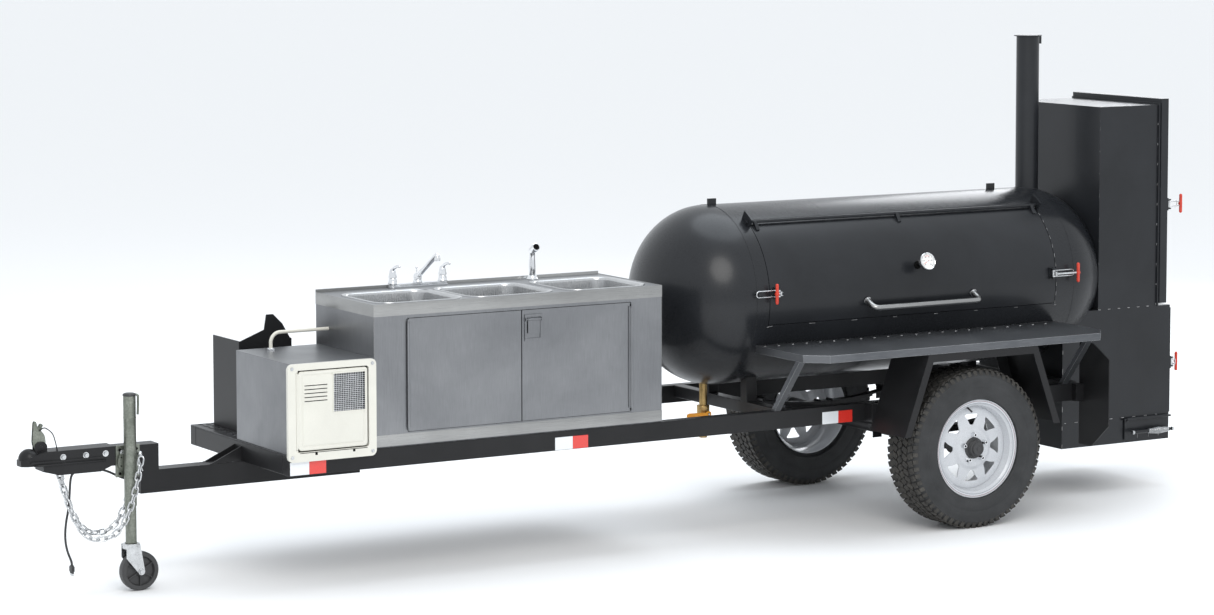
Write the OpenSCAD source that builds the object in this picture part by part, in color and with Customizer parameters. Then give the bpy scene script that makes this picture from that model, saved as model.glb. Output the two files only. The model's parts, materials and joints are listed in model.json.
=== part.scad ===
// Trailer-mounted offset smoker with a sink cabinet and a water heater.
// X runs from the coupler to the firebox, -Y is the side with the tank door, +Z is up.
// The origin is on the ground, under the middle of the whole length.

/* [Running gear] */
// Distance from the middle of the trailer back to the axle
axle_x = 1259; // [1255:1:1263]
// Half the distance between the two wheel centres
wheel_y = 628; // [624:1:632]
// Outer radius of a tyre
tyre_r = 338; // [336:1:340]
// Width of a tyre
tyre_w = 205; // [195:1:208]
// Radius of the rim at its flange
rim_r = 209; // [205:1:212]
// Pitch circle diameter of the wheel studs
stud_pcd = 114.3; // [100:0.1:120]

/* [Frame] */
// Height of the frame rails above the ground, at their lower face
rail_z = 454; // [450:1:458]
// Height of a frame rail's section
rail_h = 76; // [70:1:76]
// Width of a frame rail's section
rail_w = 51; // [45:1:51]
// Half the width over the two rails
frame_y = 457; // [455:1:460]
// Thickness of the rails' wall
rail_t = 5; // [3:0.5:8]

/* [Tank] */
// Outer radius of the tank
tank_r = 381; // [380:1:382]
// Height of the tank's axis
tank_z = 975; // [973:1:977]
// Wall of the tank, the door and the domes
tank_t = 6; // [5:0.5:8]
// Depth of a domed end
dome_d = 325; // [315:1:330]
// Outer diameter of the chimney
chimney_d = 101.6; // [90:0.1:110]
// Height of the chimney's top
chimney_top = 2032; // [1900:1:2060]

/* [Boxes] */
// Half the width of the firebox and of the warming box
box_y = 305; // [303:1:306]
// Plate of the firebox
firebox_t = 6; // [5:0.5:8]
// Height of the firebox's roof
firebox_top = 820; // [818:1:822]
// Height of the warming box's roof
warm_top = 1725; // [1700:1:1730]

/* [Sink cabinet] */
// Height of the cabinet's worktop
cabinet_top = 1088; // [1080:1:1090]
// Depth of a sink bowl
bowl_depth = 180; // [150:1:200]

/* [Jack] */
// Radius of the caster wheel
caster_r = 76; // [75:0.5:77]
// Distance that the caster wheel trails behind the jack's post
caster_trail = 30; // [25:1:35]

/* [Hidden] */
$fn = 48;

gap = 0.05;                     // radial clearance of a pin in its bore
rail_top = rail_z + rail_h;
deck_t = 4;
deck_top = rail_top + deck_t;
frame_front = -3067;            // every X below is measured from the axle
frame_rear = 750;
cabinet_x = [-2700, -1399];
cabinet_y = [-457, 50];
sheet_t = 2;
tank_front = -886;
tank_rear = 776;
door_x = [-822, 674];
door_low = -15;                 // angles on the tank are taken from the near side, upwards
door_high = 53.9;
door_gap = 3;
hinge_a = 55.4;
hinge_r = tank_r + 12;
hinge_pin_r = 7;
firebox_x = [776, 1386];
firebox_low = 212;
warm_x = [974, 1310];
warm_door_x = [1314, 1354];
fire_door_x = [1390, 1402];
fire_hinges = [400, 700];
warm_hinges = [950, 1250, 1550];
cabinet_hinge_y = -464;
jack_x = -3552;
jack_y = -75;
jack_pivot_z = 500;
jack_outer_r = 24;
jack_inner_r = 21.6;
latch_reach = 110;
fender_y = [510, 762];
faucet_x = -2256;
faucet_y = 28;
sink_rim = cabinet_top + 2;
cap_hinge_x = 863;
cap_hinge_z = chimney_top - 8;
bowl_y = [-420, -70];
bowls_x = [[-2650, -2290], [-2240, -1880], [-1800, -1450]];
axle_r = 30;
shelf_z = [761, 792];
cable_r = 4.5;
cable_route = [
    [-3494, -10, 420], [-3515, -10, 420], [-3545, -10, 424], [-3580, -10, 440],
    [-3615, -10, 459], [-3650, -10, 471], [-3690, -10, 475], [-3725, -10, 475],
    [-3748, -10, 472], [-3764, -10, 460], [-3770, -10, 440], [-3773, -10, 400],
    [-3776, -11, 360], [-3782, -12, 320], [-3791, -13, 280], [-3796, -14, 240],
    [-3795, -14, 200], [-3788, -15, 165], [-3777, -15, 138], [-3771, -15, 122],
    [-3771, -15, 112]];
chain_pitch = 29;
chain_wire = 3.5;

function x_dir(v) = v / norm(v);
function ring_dir(p, i) = x_dir(p[min(i + 1, len(p) - 1)] - p[max(i - 1, 0)]);
function side_of(d) = x_dir(cross(d, abs(d[1]) > 0.9 ? [1, 0, 0] : [0, 1, 0]));
function wall_point(a, r) = [-r * cos(a), tank_z + r * sin(a)];

module at_axle() translate([axle_x, 0, 0]) children();

module block(x, y, z)
    translate([x[0], y[0], z[0]]) cube([x[1] - x[0], y[1] - y[0], z[1] - z[0]]);

module rod_x(x, y, z, r) translate([x[0], y, z]) rotate([0, 90, 0]) cylinder(h = x[1] - x[0], r = r);
module rod_y(x, y, z, r) translate([x, y[0], z]) rotate([-90, 0, 0]) cylinder(h = y[1] - y[0], r = r);
module rod_z(x, y, z, r) translate([x, y, z[0]]) cylinder(h = z[1] - z[0], r = r);

// An outline in X and Z, given depth along Y
module profile_y(y) translate([0, y[1], 0]) rotate([90, 0, 0]) linear_extrude(y[1] - y[0]) children();

// An outline in Y and Z, given length along X
module profile_x(x) translate([x[0], 0, 0]) rotate([90, 0, 90]) linear_extrude(x[1] - x[0]) children();

module both_sides() {
    children();
    mirror([0, 1, 0]) children();
}

module hollow_block(x, y, z, t, open_low = [0, 0, 0], open_high = [0, 0, 0]) {
    difference() {
        block(x, y, z);
        block([x[0] + (open_low[0] ? -1 : t), x[1] + (open_high[0] ? 1 : -t)],
              [y[0] + (open_low[1] ? -1 : t), y[1] + (open_high[1] ? 1 : -t)],
              [z[0] + (open_low[2] ? -1 : t), z[1] + (open_high[2] ? 1 : -t)]);
    }
}

module rounded_outline(x, y, r) {
    translate([x[0] + r, y[0]]) square([x[1] - x[0] - 2 * r, y[1] - y[0]]);
    translate([x[0], y[0] + r]) square([x[1] - x[0], y[1] - y[0] - 2 * r]);
    for (cx = [x[0] + r, x[1] - r], cy = [y[0] + r, y[1] - r]) translate([cx, cy]) circle(r);
}

module swept_tube(route, r, sides) {
    n = len(route);
    points = [for (i = [0:n - 1]) let (d = ring_dir(route, i), s = side_of(d), t = cross(d, s))
              for (k = [0:sides - 1]) route[i] + r * (cos(360 * k / sides) * s + sin(360 * k / sides) * t)];
    walls = [for (i = [0:n - 2], k = [0:sides - 1]) let (m = (k + 1) % sides)
             [i * sides + k, (i + 1) * sides + k, (i + 1) * sides + m, i * sides + m]];
    ends = [[for (k = [0:sides - 1]) k], [for (k = [sides - 1:-1:0]) (n - 1) * sides + k]];
    polyhedron(points, concat(walls, ends));
}

// A sector of a ring about the tank's axis
module tank_sector(r_in, r_out, a, x) {
    mid = (a[0] + a[1]) / 2;
    far = 2 * tank_r;
    profile_x(x) intersection() {
        translate([0, tank_z]) difference() {
            circle(r_out, $fn = 180);
            circle(r_in, $fn = 180);
        }
        polygon(concat([[0, tank_z]], [for (w = [a[0], mid, a[1]]) wall_point(w, far)]));
    }
}

module dome(r, d, x, way) {
    steps = 24;
    translate([x, 0, tank_z]) rotate([0, way * 90, 0]) rotate_extrude($fn = 180)
        polygon(concat([[0, 0]], [for (i = [0:steps]) [r * cos(90 * i / steps), d * sin(90 * i / steps)]]));
}

module tank_body(shrink) {
    rod_x([tank_front, tank_rear], 0, tank_z, tank_r - shrink, $fn = 180);
    dome(tank_r - shrink, dome_d - shrink, tank_front, -1);
    dome(tank_r - shrink, dome_d - shrink, tank_rear, 1);
}

// ---- frame ----

module side_rails() color("#1b1c1e") at_axle() both_sides()
    hollow_block([frame_front, frame_rear], [-frame_y, rail_w - frame_y], [rail_z, rail_top],
                 rail_t, [0, 0, 0], [1, 0, 0]);

module cross_members() color("#1b1c1e") at_axle() {
    inner = frame_y - rail_w;
    block([frame_front, frame_front + rail_w], [-inner, inner], [rail_z, rail_top]);
    for (x = [-2720, -2075, -1430, -804, 575])
        block([x, x + rail_w], [-inner, inner], [rail_top - rail_w, rail_top]);
    block([tank_rear - rail_w, tank_rear], [-inner, inner], [rail_z, rail_top]);
    for (x = [-804, 575], s = [-1, 1]) difference() {
        block([x, x + rail_w], [150 * s - 25, 150 * s + 25], [rail_top, 660]);
        tank_body(0);
    }
}

module deck_plate() color("#202224") at_axle()
    block([frame_front, cabinet_x[1]], [-frame_y, frame_y], [rail_top, deck_top]);

module tongue() color("#1b1c1e") at_axle() {
    half = 38;
    difference() {
        union() {
            block([-3494, -2554], [-half, half], [365, rail_z]);
            block([-3494, -3418], [-half, half], [365, 556]);
            block([-3700, -3418], [-half, half], [484, 556]);
        }
        block([-3489, -2553], [5 - half, half - 5], [370, rail_z - 5]);
        block([-3701, -3423], [5 - half, half - 5], [489, 551]);
    }
    for (s = [-1, 1])
        profile_y([32 * s - 3, 32 * s + 3]) polygon([[-3200, rail_z], [frame_front, rail_z], [frame_front, 515]]);
}

module coupler() color("#17181a") at_axle() {
    ball_x = -3932;
    cheek_y = [9, 13];
    difference() {
        union() {
            intersection() {
                profile_y([-60, 60]) polygon([[-3972, 508], [-3945, 500], [-3850, 474], [-3830, 468], [-3660, 468],
                    [-3600, 492], [-3600, 561], [-3880, 561], [-3935, 545], [-3972, 530]]);
                linear_extrude(700) polygon([[-3972, -22], [-3950, -38], [-3840, -46], [-3599, -46],
                    [-3599, 46], [-3840, 46], [-3950, 38], [-3972, 22]]);
            }
            rod_z(ball_x, 0, [508, 532], 40);
            intersection() {
                translate([ball_x, 0, 532]) sphere(40);
                rod_z(ball_x, 0, [532, 600], 41);
            }
            block([-3940, -3650], [-50, 50], [520, 526]);
            for (s = [-1, 1]) intersection() {
                block([-3912, -3862], [s > 0 ? cheek_y[0] : -cheek_y[1], s > 0 ? cheek_y[1] : -cheek_y[0]],
                      [555, 596]);
                rod_y(-3887, [-20, 20], 572, 26);
            }
            rod_y(-3887, [-16, 16], 580, 4);
        }
        block([-3980, -3890], [-60, 60], [480, 508]);
        rod_z(ball_x, 0, [400, 545], 25.7);
        block([-3800, -3590], [-38.3, 38.3], [400, 556.3]);
        block([-3880, -3799], [-30, 30], [400, 545]);
    }
}

module coupler_latch() color("#a8adad") at_axle() difference() {
    profile_y([-8, 8]) difference() {
        polygon([[-3908, 572], [-3912, 600], [-3912, 674], [-3904, 676], [-3896, 652], [-3882, 664],
            [-3876, 660], [-3886, 640], [-3876, 626], [-3872, 604], [-3868, 588], [-3872, 572]]);
        translate([-3887, 580]) circle(4 + gap);
    }
    block([-3930, -3850], [-5, 5], [596, 700]);
}

// One chain link, lying along X with its flat side up
module link() {
    a = 8.5;
    r = 10.5;
    for (s = [-1, 1]) {
        translate([s * a, 0, 0]) rotate([0, 0, s > 0 ? -90 : 90]) rotate_extrude(angle = 180, $fn = 24)
            translate([r, 0]) circle(chain_wire, $fn = 16);
        rod_x([-a, a], s * r, 0, chain_wire, $fn = 16);
    }
}

// A hanging chain: a point at share t of its way, in a sagging curve between two ends
function chain_at(a, b, low, out, t) = [
    a[0] + (b[0] - a[0]) * (0.93 * t + 0.07 * (3 * t * t - 2 * t * t * t)),
    a[1] + (b[1] - a[1]) * t - out * (1 - pow(2 * t - 1, 4)),
    a[2] + (b[2] - a[2]) * t - low * (1 - pow(abs(2 * t - 1), 2.6))];

module chain(a, b, low, out) {
    fine = 200;
    way = [for (i = [0:fine]) chain_at(a, b, low, out, i / fine)];
    steps = [for (i = [1:fine]) norm(way[i] - way[i - 1])];
    run = [for (i = 0, s = 0; i <= fine; s = s + (i < fine ? steps[i] : 0), i = i + 1) s];
    count = floor((run[fine] - chain_pitch) / chain_pitch);
    for (k = [0:count]) {
        here = (k + 0.5) * chain_pitch;
        i = len([for (s = run) if (s < here) s]);
        d = ring_dir(way, i);
        translate(way[i]) rotate([0, -asin(d[2]), atan2(d[1], d[0])]) rotate([k % 2 == 0 ? 45 : -45, 0, 0]) link();
    }
}

module safety_chains() color("#c9ccce") at_axle() {
    chain([-3822, -26, 466], [-3524, -112, 505], 270, 20);
    chain([-3800, 14, 455], [-3476, 60, 450], 235, 0);
}

module wiring_cable() color("#141414") at_axle() swept_tube(cable_route, cable_r, 8);

module wiring_plug() color("#141414") at_axle() {
    block([-3777, -3765], [-30, 0], [80, 112]);
    for (y = [-25, -18, -11, -4]) rod_z(-3771, y, [70, 80], 2, $fn = 16);
}

// ---- jack ----

module jack_mount() color("#8f958c") at_axle() {
    block([-3598, -3500], [-46, -38], [439, 561]);
    rod_y(jack_x, [-50.8, -46], jack_pivot_z, 10);
}

module jack_post() color("#8c9389") at_axle() {
    difference() {
        rod_z(jack_x, jack_y, [330, 755], jack_outer_r);
        rod_z(jack_x, jack_y, [300, 756], jack_inner_r + gap);
    }
    difference() {
        rod_y(jack_x, [-58, -46.5], jack_pivot_z, 42);
        rod_y(jack_x, [-60, -40], jack_pivot_z, 10 + gap);
        rod_z(jack_x, jack_y, [400, 600], jack_outer_r - 1);
    }
    rod_y(-3516, [-78, -46.5], 530, 5);
    translate([-3516, -84, 530]) sphere(10);
}

module jack_inner_tube() color("#9aa098") at_axle() {
    difference() {
        rod_z(jack_x, jack_y, [186, 560], jack_inner_r);
        rod_z(jack_x, jack_y, [198, 548], jack_inner_r - 3);
        rod_z(jack_x, jack_y, [540, 570], 8 + gap);
        rod_z(jack_x, jack_y, [180, 200], 9 + gap);
    }
}

module jack_crank() color("#202020") at_axle() {
    rod_z(jack_x, jack_y, [755.5, 766], jack_outer_r + 2);
    rod_z(jack_x, jack_y, [330, 756], 8);
    block([jack_x + 20, jack_x + 40], [jack_y - 5, jack_y + 5], [757, 766]);
    rod_z(jack_x + 35, jack_y, [680, 760], 5);
}

module caster_fork() color("#a3a9a6") at_axle() {
    wheel_x = jack_x + caster_trail;
    difference() {
        rod_z(jack_x, jack_y, [166, 185.6], 33);
        rod_z(jack_x, jack_y, [160, 166 + 8], 12);
    }
    rod_z(jack_x, jack_y, [174, 230], 9);
    for (s = [-1, 1]) difference() {
        profile_y([jack_y + 27 * s - 2, jack_y + 27 * s + 2]) {
            polygon([[jack_x - 30, 182], [jack_x + 26, 182], [wheel_x + 14, caster_r], [wheel_x - 12, caster_r - 6],
                [jack_x - 30, 130]]);
            translate([wheel_x, caster_r]) circle(14);
        }
        rod_y(wheel_x, [jack_y - 40, jack_y + 40], caster_r, 6);
    }
    rod_y(wheel_x, [jack_y - 32, jack_y + 32], caster_r, 6);
}

module caster_wheel() color("#1c1c1c") at_axle() translate([jack_x + caster_trail, jack_y, caster_r])
    rotate([90, 0, 0]) rotate_extrude($fn = 96)
        polygon([[6 + gap, -22], [16, -22], [16, -10], [56, -10], [56, -20], [caster_r - 4, -20], [caster_r, -14],
            [caster_r, 14], [caster_r - 4, 20], [56, 20], [56, 10], [16, 10], [16, 22], [6 + gap, 22]]);

// ---- running gear ----

module fender_outline(t) difference() {
    polygon([[-405, 422], [-283, 760], [283, 760], [405, 422]]);
    polygon([[-406 + t * 1.05, 421], [-283 + t * 0.7, 760 - t], [283 - t * 0.7, 760 - t], [406 - t * 1.05, 421]]);
}

module fenders() color("#1b1c1e") at_axle() both_sides() {
    profile_y([-fender_y[1], -fender_y[0]]) fender_outline(4);
    profile_y([-fender_y[1], 4 - fender_y[1]]) fender_outline(32);
    profile_y([-fender_y[0] - 4, -fender_y[0]]) fender_outline(55);
    for (s = [-1, 1]) block([375 * s - 20, 375 * s + 20], [-fender_y[0] - 2, -frame_y], [rail_z, rail_top]);
    profile_x([frame_rear, frame_rear + 6]) polygon([[-frame_y, 714], [-550, 714], [-661, 655],
        [-661, 363], [-545, 262], [-frame_y, 262]]);
    block([frame_rear - 40, frame_rear], [-frame_y - 30, -frame_y], [rail_z, rail_top]);
}

module lamps_and_tapes() color("#c4342b") at_axle() {
    both_sides() {
        rod_x([frame_rear + 6, frame_rear + 26], -560, 520, 52);
        for (x = [-3060, -1897, -611]) block([x, x + 152], [-frame_y - 1, -frame_y], [456, 507]);
        block([410, 426], [-700, -660], [430, 450]);
    }
}

module leaf(length, low) {
    curve = 1830;
    profile_y([-454, -409]) intersection() {
        translate([0, low + curve]) difference() {
            circle(curve, $fn = 360);
            circle(curve - 7, $fn = 360);
        }
        translate([-length / 2, low - 5]) square([length, 90]);
    }
}

module axle_and_springs() color("#232527") at_axle() {
    rod_y(0, [-515, 515], tyre_r, axle_r);
    both_sides() {
        rod_y(0, [-660, -514], tyre_r, 16);
        for (i = [0:3]) leaf(640 - 130 * i, 391 - 7.2 * i);
        block([-45, 45], [-457, -406], [tyre_r + axle_r - 4, 369]);
        for (s = [-1, 1]) {
            block([332 * s - 22, 332 * s + 22], [-462, -457], [380, rail_top]);
            rod_y(332 * s, [-457, -407], 430, 10);
        }
    }
}

module tyre() rotate([90, 0, 0]) rotate_extrude($fn = 128) {
    w = tyre_w / 2;
    polygon([[rim_r - 14, 8 - w], [rim_r + 6, 2 - w], [rim_r + 60, -w], [tyre_r - 30, 4 - w], [tyre_r - 8, 14 - w],
        [tyre_r, 30 - w], [tyre_r, w - 30], [tyre_r - 8, w - 14], [tyre_r - 30, w - 4], [rim_r + 60, w],
        [rim_r + 6, w - 2], [rim_r + 1, w - 4], [rim_r + 1, 83.5], [rim_r - 14, 79.5]]);
}

// A wheel with its outer face towards -Y
module wheel() {
    disc_y = -50;
    difference() {
        union() {
            rotate([90, 0, 0]) rotate_extrude($fn = 128)
                polygon([[rim_r, 89], [rim_r - 3, 90], [rim_r - 14, 88], [rim_r - 26, 76], [rim_r - 34, 40],
                    [rim_r - 34, -60], [rim_r - 18, -84], [rim_r - 18, -90], [rim_r - 14.2, -90],
                    [rim_r - 14.2, -86], [rim_r - 30, -58], [rim_r - 30, 38], [rim_r - 20, 72], [rim_r - 14.2, 80],
                    [rim_r - 14.2, 82], [rim_r, 84]]);
            rod_y(0, [disc_y, disc_y + 6], 0, rim_r - 31);
            rod_y(0, [disc_y - 14, disc_y], 0, 78);
        }
        for (i = [0:7]) rotate([0, 45 * i, 0]) rod_y(118, [disc_y - 20, disc_y + 20], 0, 26);
        rod_y(0, [-120, 120], 0, 42);
    }
    rod_y(0, [disc_y - 30, disc_y - 14], 0, 46);
    rod_y(0, [disc_y - 52, disc_y - 30], 0, 28);
    difference() {
        rod_y(0, [disc_y - 14, 80], 0, 42);
        rod_y(0, [disc_y + 10, 100], 0, 16 + gap);
    }
    for (i = [0:4]) rotate([0, 72 * i, 0]) rod_y(stud_pcd / 2, [disc_y - 34, disc_y - 14], 0, 10, $fn = 24);
}

module near_tyre() color("#2b2b2c") at_axle() translate([0, -wheel_y, tyre_r]) tyre();
module near_wheel() color("#e9eaec") at_axle() translate([0, -wheel_y, tyre_r]) wheel();
module far_tyre() color("#2b2b2c") at_axle() mirror([0, 1, 0]) translate([0, -wheel_y, tyre_r]) tyre();
module far_wheel() color("#e9eaec") at_axle() mirror([0, 1, 0]) translate([0, -wheel_y, tyre_r]) wheel();

// ---- tank ----

module tank_shell() color("#1a1c1f") at_axle() difference() {
    tank_body(0);
    tank_body(tank_t);
    tank_sector(tank_r - 2 * tank_t, tank_r + tank_t, [door_low, door_high],
                [door_x[0] - door_gap, door_x[1] + door_gap]);
    rod_z(803, 0, [tank_z, chimney_top], chimney_d / 2 - 4);
    block([tank_rear + 8, 1200], [12 - box_y, box_y - 12], [400, firebox_top - 12]);
    block([1000, 1200], [-120, 120], [firebox_top + 40, 1100]);
    rod_z(-911, 0, [500, tank_z], 14);
}

module tank_fittings() color("#1a1c1f") at_axle() {
    for (x = [[-836, -828], [680, 688]]) difference() {
        tank_sector(tank_r, tank_r + 40, [hinge_a - 3.2, hinge_a + 6], x);
        rod_x([x[0] - 1, x[1] + 1], wall_point(hinge_a, hinge_r)[0], wall_point(hinge_a, hinge_r)[1],
              hinge_pin_r + gap);
    }
    tank_sector(tank_r, tank_r + 8, [58, 59], [-820, 672]);
    difference() {
        union() {
            for (x = [-890, 580]) block([x, x + 40], [-5, 5], [tank_z + tank_r - 2, tank_z + tank_r + 26]);
            for (x = [-890, 750]) rod_y(x, [-404, -374], 1012, 5);
        }
        tank_body(0);
    }
    for (x = [[door_x[0] - 18, door_x[0] + 12], [door_x[1] - 12, door_x[1] + 18]])
        tank_sector(tank_r - 14, tank_r - 7, [door_low - 2, door_high + 1.5], x);
    for (a = [door_low, door_high])
        tank_sector(tank_r - 14, tank_r - 7, [a - 2, a + 1.5], [door_x[0] + 12.1, door_x[1] - 12.1]);
}

module tank_door() color("#1b1d20") at_axle() {
    pin = wall_point(hinge_a, hinge_r);
    tank_sector(tank_r - tank_t, tank_r, [door_low + 0.45, door_high - 0.45], door_x);
    rod_x([-845, 697], pin[0], pin[1], hinge_pin_r);
    for (x = [-800, -74, 652])
        profile_x([x - 8, x + 8]) polygon([wall_point(door_high - 5, tank_r - 1), wall_point(door_high - 5, tank_r + 6),
            wall_point(hinge_a - 1, hinge_r + 6), wall_point(hinge_a + 0.6, hinge_r + 2),
            wall_point(hinge_a - 0.6, hinge_r - 6), wall_point(door_high - 0.8, tank_r - 1)]);
    latch_base(-790, tank_r, -1);
    latch_base(650, tank_r, 1);
}

// Ears and pin that a door latch turns on
module latch_base(x, y, way) {
    block([x - 14, x + 14], [-y - 5, 3 - y], [987, 1037]);
    for (z = [990, 1029]) block([x - 10, x + 10], [-y - 24, -y - 4], [z, z + 5]);
    rod_z(x, -y - 16, [990, 1034], 5);
}

// Latch lever with its wire loop and cross handle, turning about a pin along Z at the origin
module latch_lever(reach, handle, way) {
    difference() {
        union() {
            rod_z(0, 0, [-16, 16], 8);
            block([-6, 6], [-22, -4], [-9, 9]);
        }
        rod_z(0, 0, [-20, 20], 5 + gap);
    }
    for (z = [-13, 13]) rod_x(way > 0 ? [5.5, reach] : [-reach, -5.5], 0, z, 2.5, $fn = 24);
    rod_z(way * reach, 0, [-15.5, 15.5], 2.5, $fn = 24);
    rod_x(handle > 0 ? [0, handle] : [handle, 0], -18, 0, 5);
    rod_z(handle, -20, [-43.5, 43.5], 7);
}

module front_latch() color("#d6402b") at_axle() translate([-790, -tank_r - 16, 1012]) latch_lever(latch_reach, -22, -1);
module rear_latch() color("#d6402b") at_axle() translate([650, -tank_r - 16, 1012]) latch_lever(latch_reach, 120, 1);

module door_handle() color("#c8cacc") at_axle() {
    out = tank_r + 54;
    bar_r = 12.5;
    difference() {
        union() {
            rod_x([-330, 225], -out, 925, bar_r);
            for (x = [-330, 225]) translate([x, -out, 925]) {
                sphere(bar_r + 1);
                rotate([27, 0, 0]) rod_y(0, [0, 100], 0, bar_r);
            }
        }
        rod_x([-400, 300], 0, tank_z, tank_r, $fn = 180);
    }
}

module thermometer() color("#d9dadb") at_axle() translate([-60, 0, tank_z]) rotate([-17, 0, 0]) {
    difference() {
        rod_y(0, [-tank_r - 62, -tank_r + 2], 0, 8);
        rod_x([-20, 20], 0, 0, tank_r, $fn = 180);
    }
    rod_y(0, [-tank_r - 84, -tank_r - 62], 0, 38);
}

module cooking_grates() color("#6d6f70") at_axle() {
    both_sides() block([-780, 700], [-362, -330], [930, 934]);
    for (x0 = [-775, -35]) {
        for (y = [-340, 332]) block([x0, x0 + 725], [y, y + 8], [934, 946]);
        for (x = [x0, x0 + 717]) block([x, x + 8], [-332, 332], [934, 946]);
        for (i = [1:15]) block([x0 + 45 * i, x0 + 45 * i + 6], [-332, 332], [937, 943]);
    }
}

module chimney() color("#191a1c") at_axle() {
    difference() {
        rod_z(803, 0, [tank_z + 300, chimney_top], chimney_d / 2);
        rod_z(803, 0, [tank_z, chimney_top + 1], chimney_d / 2 - 4);
        tank_body(0);
    }
    for (s = [-1, 1]) block([849, cap_hinge_x + 6], [12 * s - 2, 12 * s + 2], [chimney_top - 34, cap_hinge_z + 6]);
    rod_y(cap_hinge_x, [-14, 14], cap_hinge_z, 3);
}

module chimney_cap() color("#191a1c") at_axle() difference() {
    union() {
        rod_z(803, 0, [chimney_top + 1, chimney_top + 6], 62);
        rod_y(cap_hinge_x, [-9, 9], cap_hinge_z, 8);
        block([cap_hinge_x - 8, cap_hinge_x + 8], [-9, 9], [cap_hinge_z, chimney_top + 6]);
    }
    rod_y(cap_hinge_x, [-20, 20], cap_hinge_z, 3 + gap);
}

module drain_pipe() color("#b08a3c") at_axle() {
    difference() {
        rod_z(-911, 0, [365, 640], 17);
        rod_z(-911, 0, [360, 650], 12);
        tank_body(0);
    }
    difference() {
        rod_z(-911, 0, [440, 500], 27);
        rod_z(-911, 0, [430, 510], 12);
    }
    rod_y(-911, [-42, -25], 470, 5);
}

module valve_lever() color("#e8a21c") at_axle() {
    difference() {
        rod_y(-911, [-46, -38], 470, 13);
        rod_y(-911, [-50, -20], 470, 5 + gap);
    }
    block([-1023, -922], [-50, -46], [461, 479]);
    block([-930, -922], [-50, -38], [461, 479]);
}

module side_shelf() color("#7a7c7d") at_axle() {
    outline = [[-865, -336], [-865, -690], [-780, -762], [620, -762], [700, -665], [700, -336]];
    inner = [[-862, -330], [-862, -688], [-779, -759], [619, -759], [697, -664], [697, -330]];
    difference() {
        translate([0, 0, shelf_z[0]]) linear_extrude(shelf_z[1] - shelf_z[0]) polygon(outline);
        translate([0, 0, shelf_z[0] - 1]) linear_extrude(shelf_z[1] - shelf_z[0] - 2) polygon(inner);
    }
    for (x = [-850, 655]) profile_x([x, x + 30])
        polygon([[-frame_y, rail_top], [-430, rail_top], [-640, shelf_z[1] - 3], [-667, shelf_z[1] - 3]]);
}

// ---- firebox and warming box ----

module firebox_shell() color("#17181a") at_axle() {
    difference() {
        hollow_block(firebox_x, [-box_y, box_y], [firebox_low, firebox_top], firebox_t);
        tank_body(0);
        block([1370, 1400], [-265, 265], [350, 780]);
        block([1145, 1360], [-320, -290], [235, 300]);
        block([1020, 1260], [-200, 200], [800, 830]);
    }
    hinge_pins(1398, 300, firebox_x[1], fire_hinges);
    rod_x([1118, firebox_x[1]], -316, 318, 4);
    for (x = [1118, 1380]) block([x, x + 6], [-322, -box_y], [314, 322]);
}

module fire_grate() color("#3c3d3e") at_axle() {
    for (i = [0:11]) block([800 + 48 * i, 812 + 48 * i], [-280, 280], [340, 352]);
    for (y = [-290, 278]) block([800, 1340], [y, y + 12], [328, 340]);
}

module firebox_door() color("#17181a") at_axle() {
    difference() {
        union() {
            block(fire_door_x, [-292, 288], [330, 805]);
            for (z = fire_hinges) block([1392, 1406], [286, 302], [z, z + 70]);
            for (z = fire_hinges) rod_z(1398, 300, [z, z + 70], 9);
        }
        for (z = fire_hinges) rod_z(1398, 300, [z - 1, z + 71], 5 + gap);
    }
    side_latch_base(1402, -292, 556);
}

// Upright hinge pins, each on a bracket below it that is fixed to a box's far side
module hinge_pins(x, y, wall_x, z_list) for (z = z_list) {
    rod_z(x, y, [z - 12, z + 70], 5);
    block([wall_x, x + 6], [y - 6, y + 6], [z - 12, z - 2]);
    block([wall_x - 14, wall_x], [box_y, y + 6], [z - 12, z - 2]);
}

// Ears and pin behind a rear door's near edge
module side_latch_base(x, y, z) {
    block([x - 1, x + 6], [y, y + 34], [z - 28, z + 28]);
    for (s = [-1, 1]) block([x + 5, x + 24], [y + 4, y + 24], [z + s * 20 - 3, z + s * 20 + 3]);
    rod_z(x + 15, y + 13, [z - 23, z + 23], 5);
}

module side_latch_lever(handle) {
    difference() {
        rod_z(0, 0, [-16, 16], 8);
        rod_z(0, 0, [-20, 20], 5 + gap);
    }
    for (z = [-10, 10]) rod_x([6, handle], 0, z, 2.5, $fn = 24);
    rod_z(handle, 0, [-43.5, 43.5], 7);
}

module firebox_latch() color("#d6402b") at_axle() translate([1417, -279, 556]) side_latch_lever(30);

module ash_door() color("#17181a") at_axle() {
    difference() {
        union() {
            block([1126, 1378], [-313, -305.5], [226, 312]);
            rod_x([1135, 1369], -316, 318, 7);
            block([1135, 1369], [-316, -310], [306, 318]);
        }
        rod_x([1120, 1380], -316, 318, 4 + gap);
    }
    rod_x([1160, 1360], -345, 262, 8);
    for (x = [1172, 1342]) block([x, x + 6], [-345, -312], [258, 266]);
}

module warm_box_shell() color("#191a1c") at_axle() {
    difference() {
        hollow_block(warm_x, [-box_y, box_y], [firebox_top, warm_top], 4, [0, 0, 0], [1, 0, 0]);
        tank_body(0);
        block([1020, 1260], [-200, 200], [810, 830]);
    }
    difference() {
        block([1304, 1312], [-313, 313], [firebox_top, warm_top + 8]);
        block([1300, 1314], [4 - box_y, box_y - 4], [firebox_top + 4, warm_top - 4]);
    }
    hinge_pins(1334, 330, 1312, warm_hinges);
}

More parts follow.
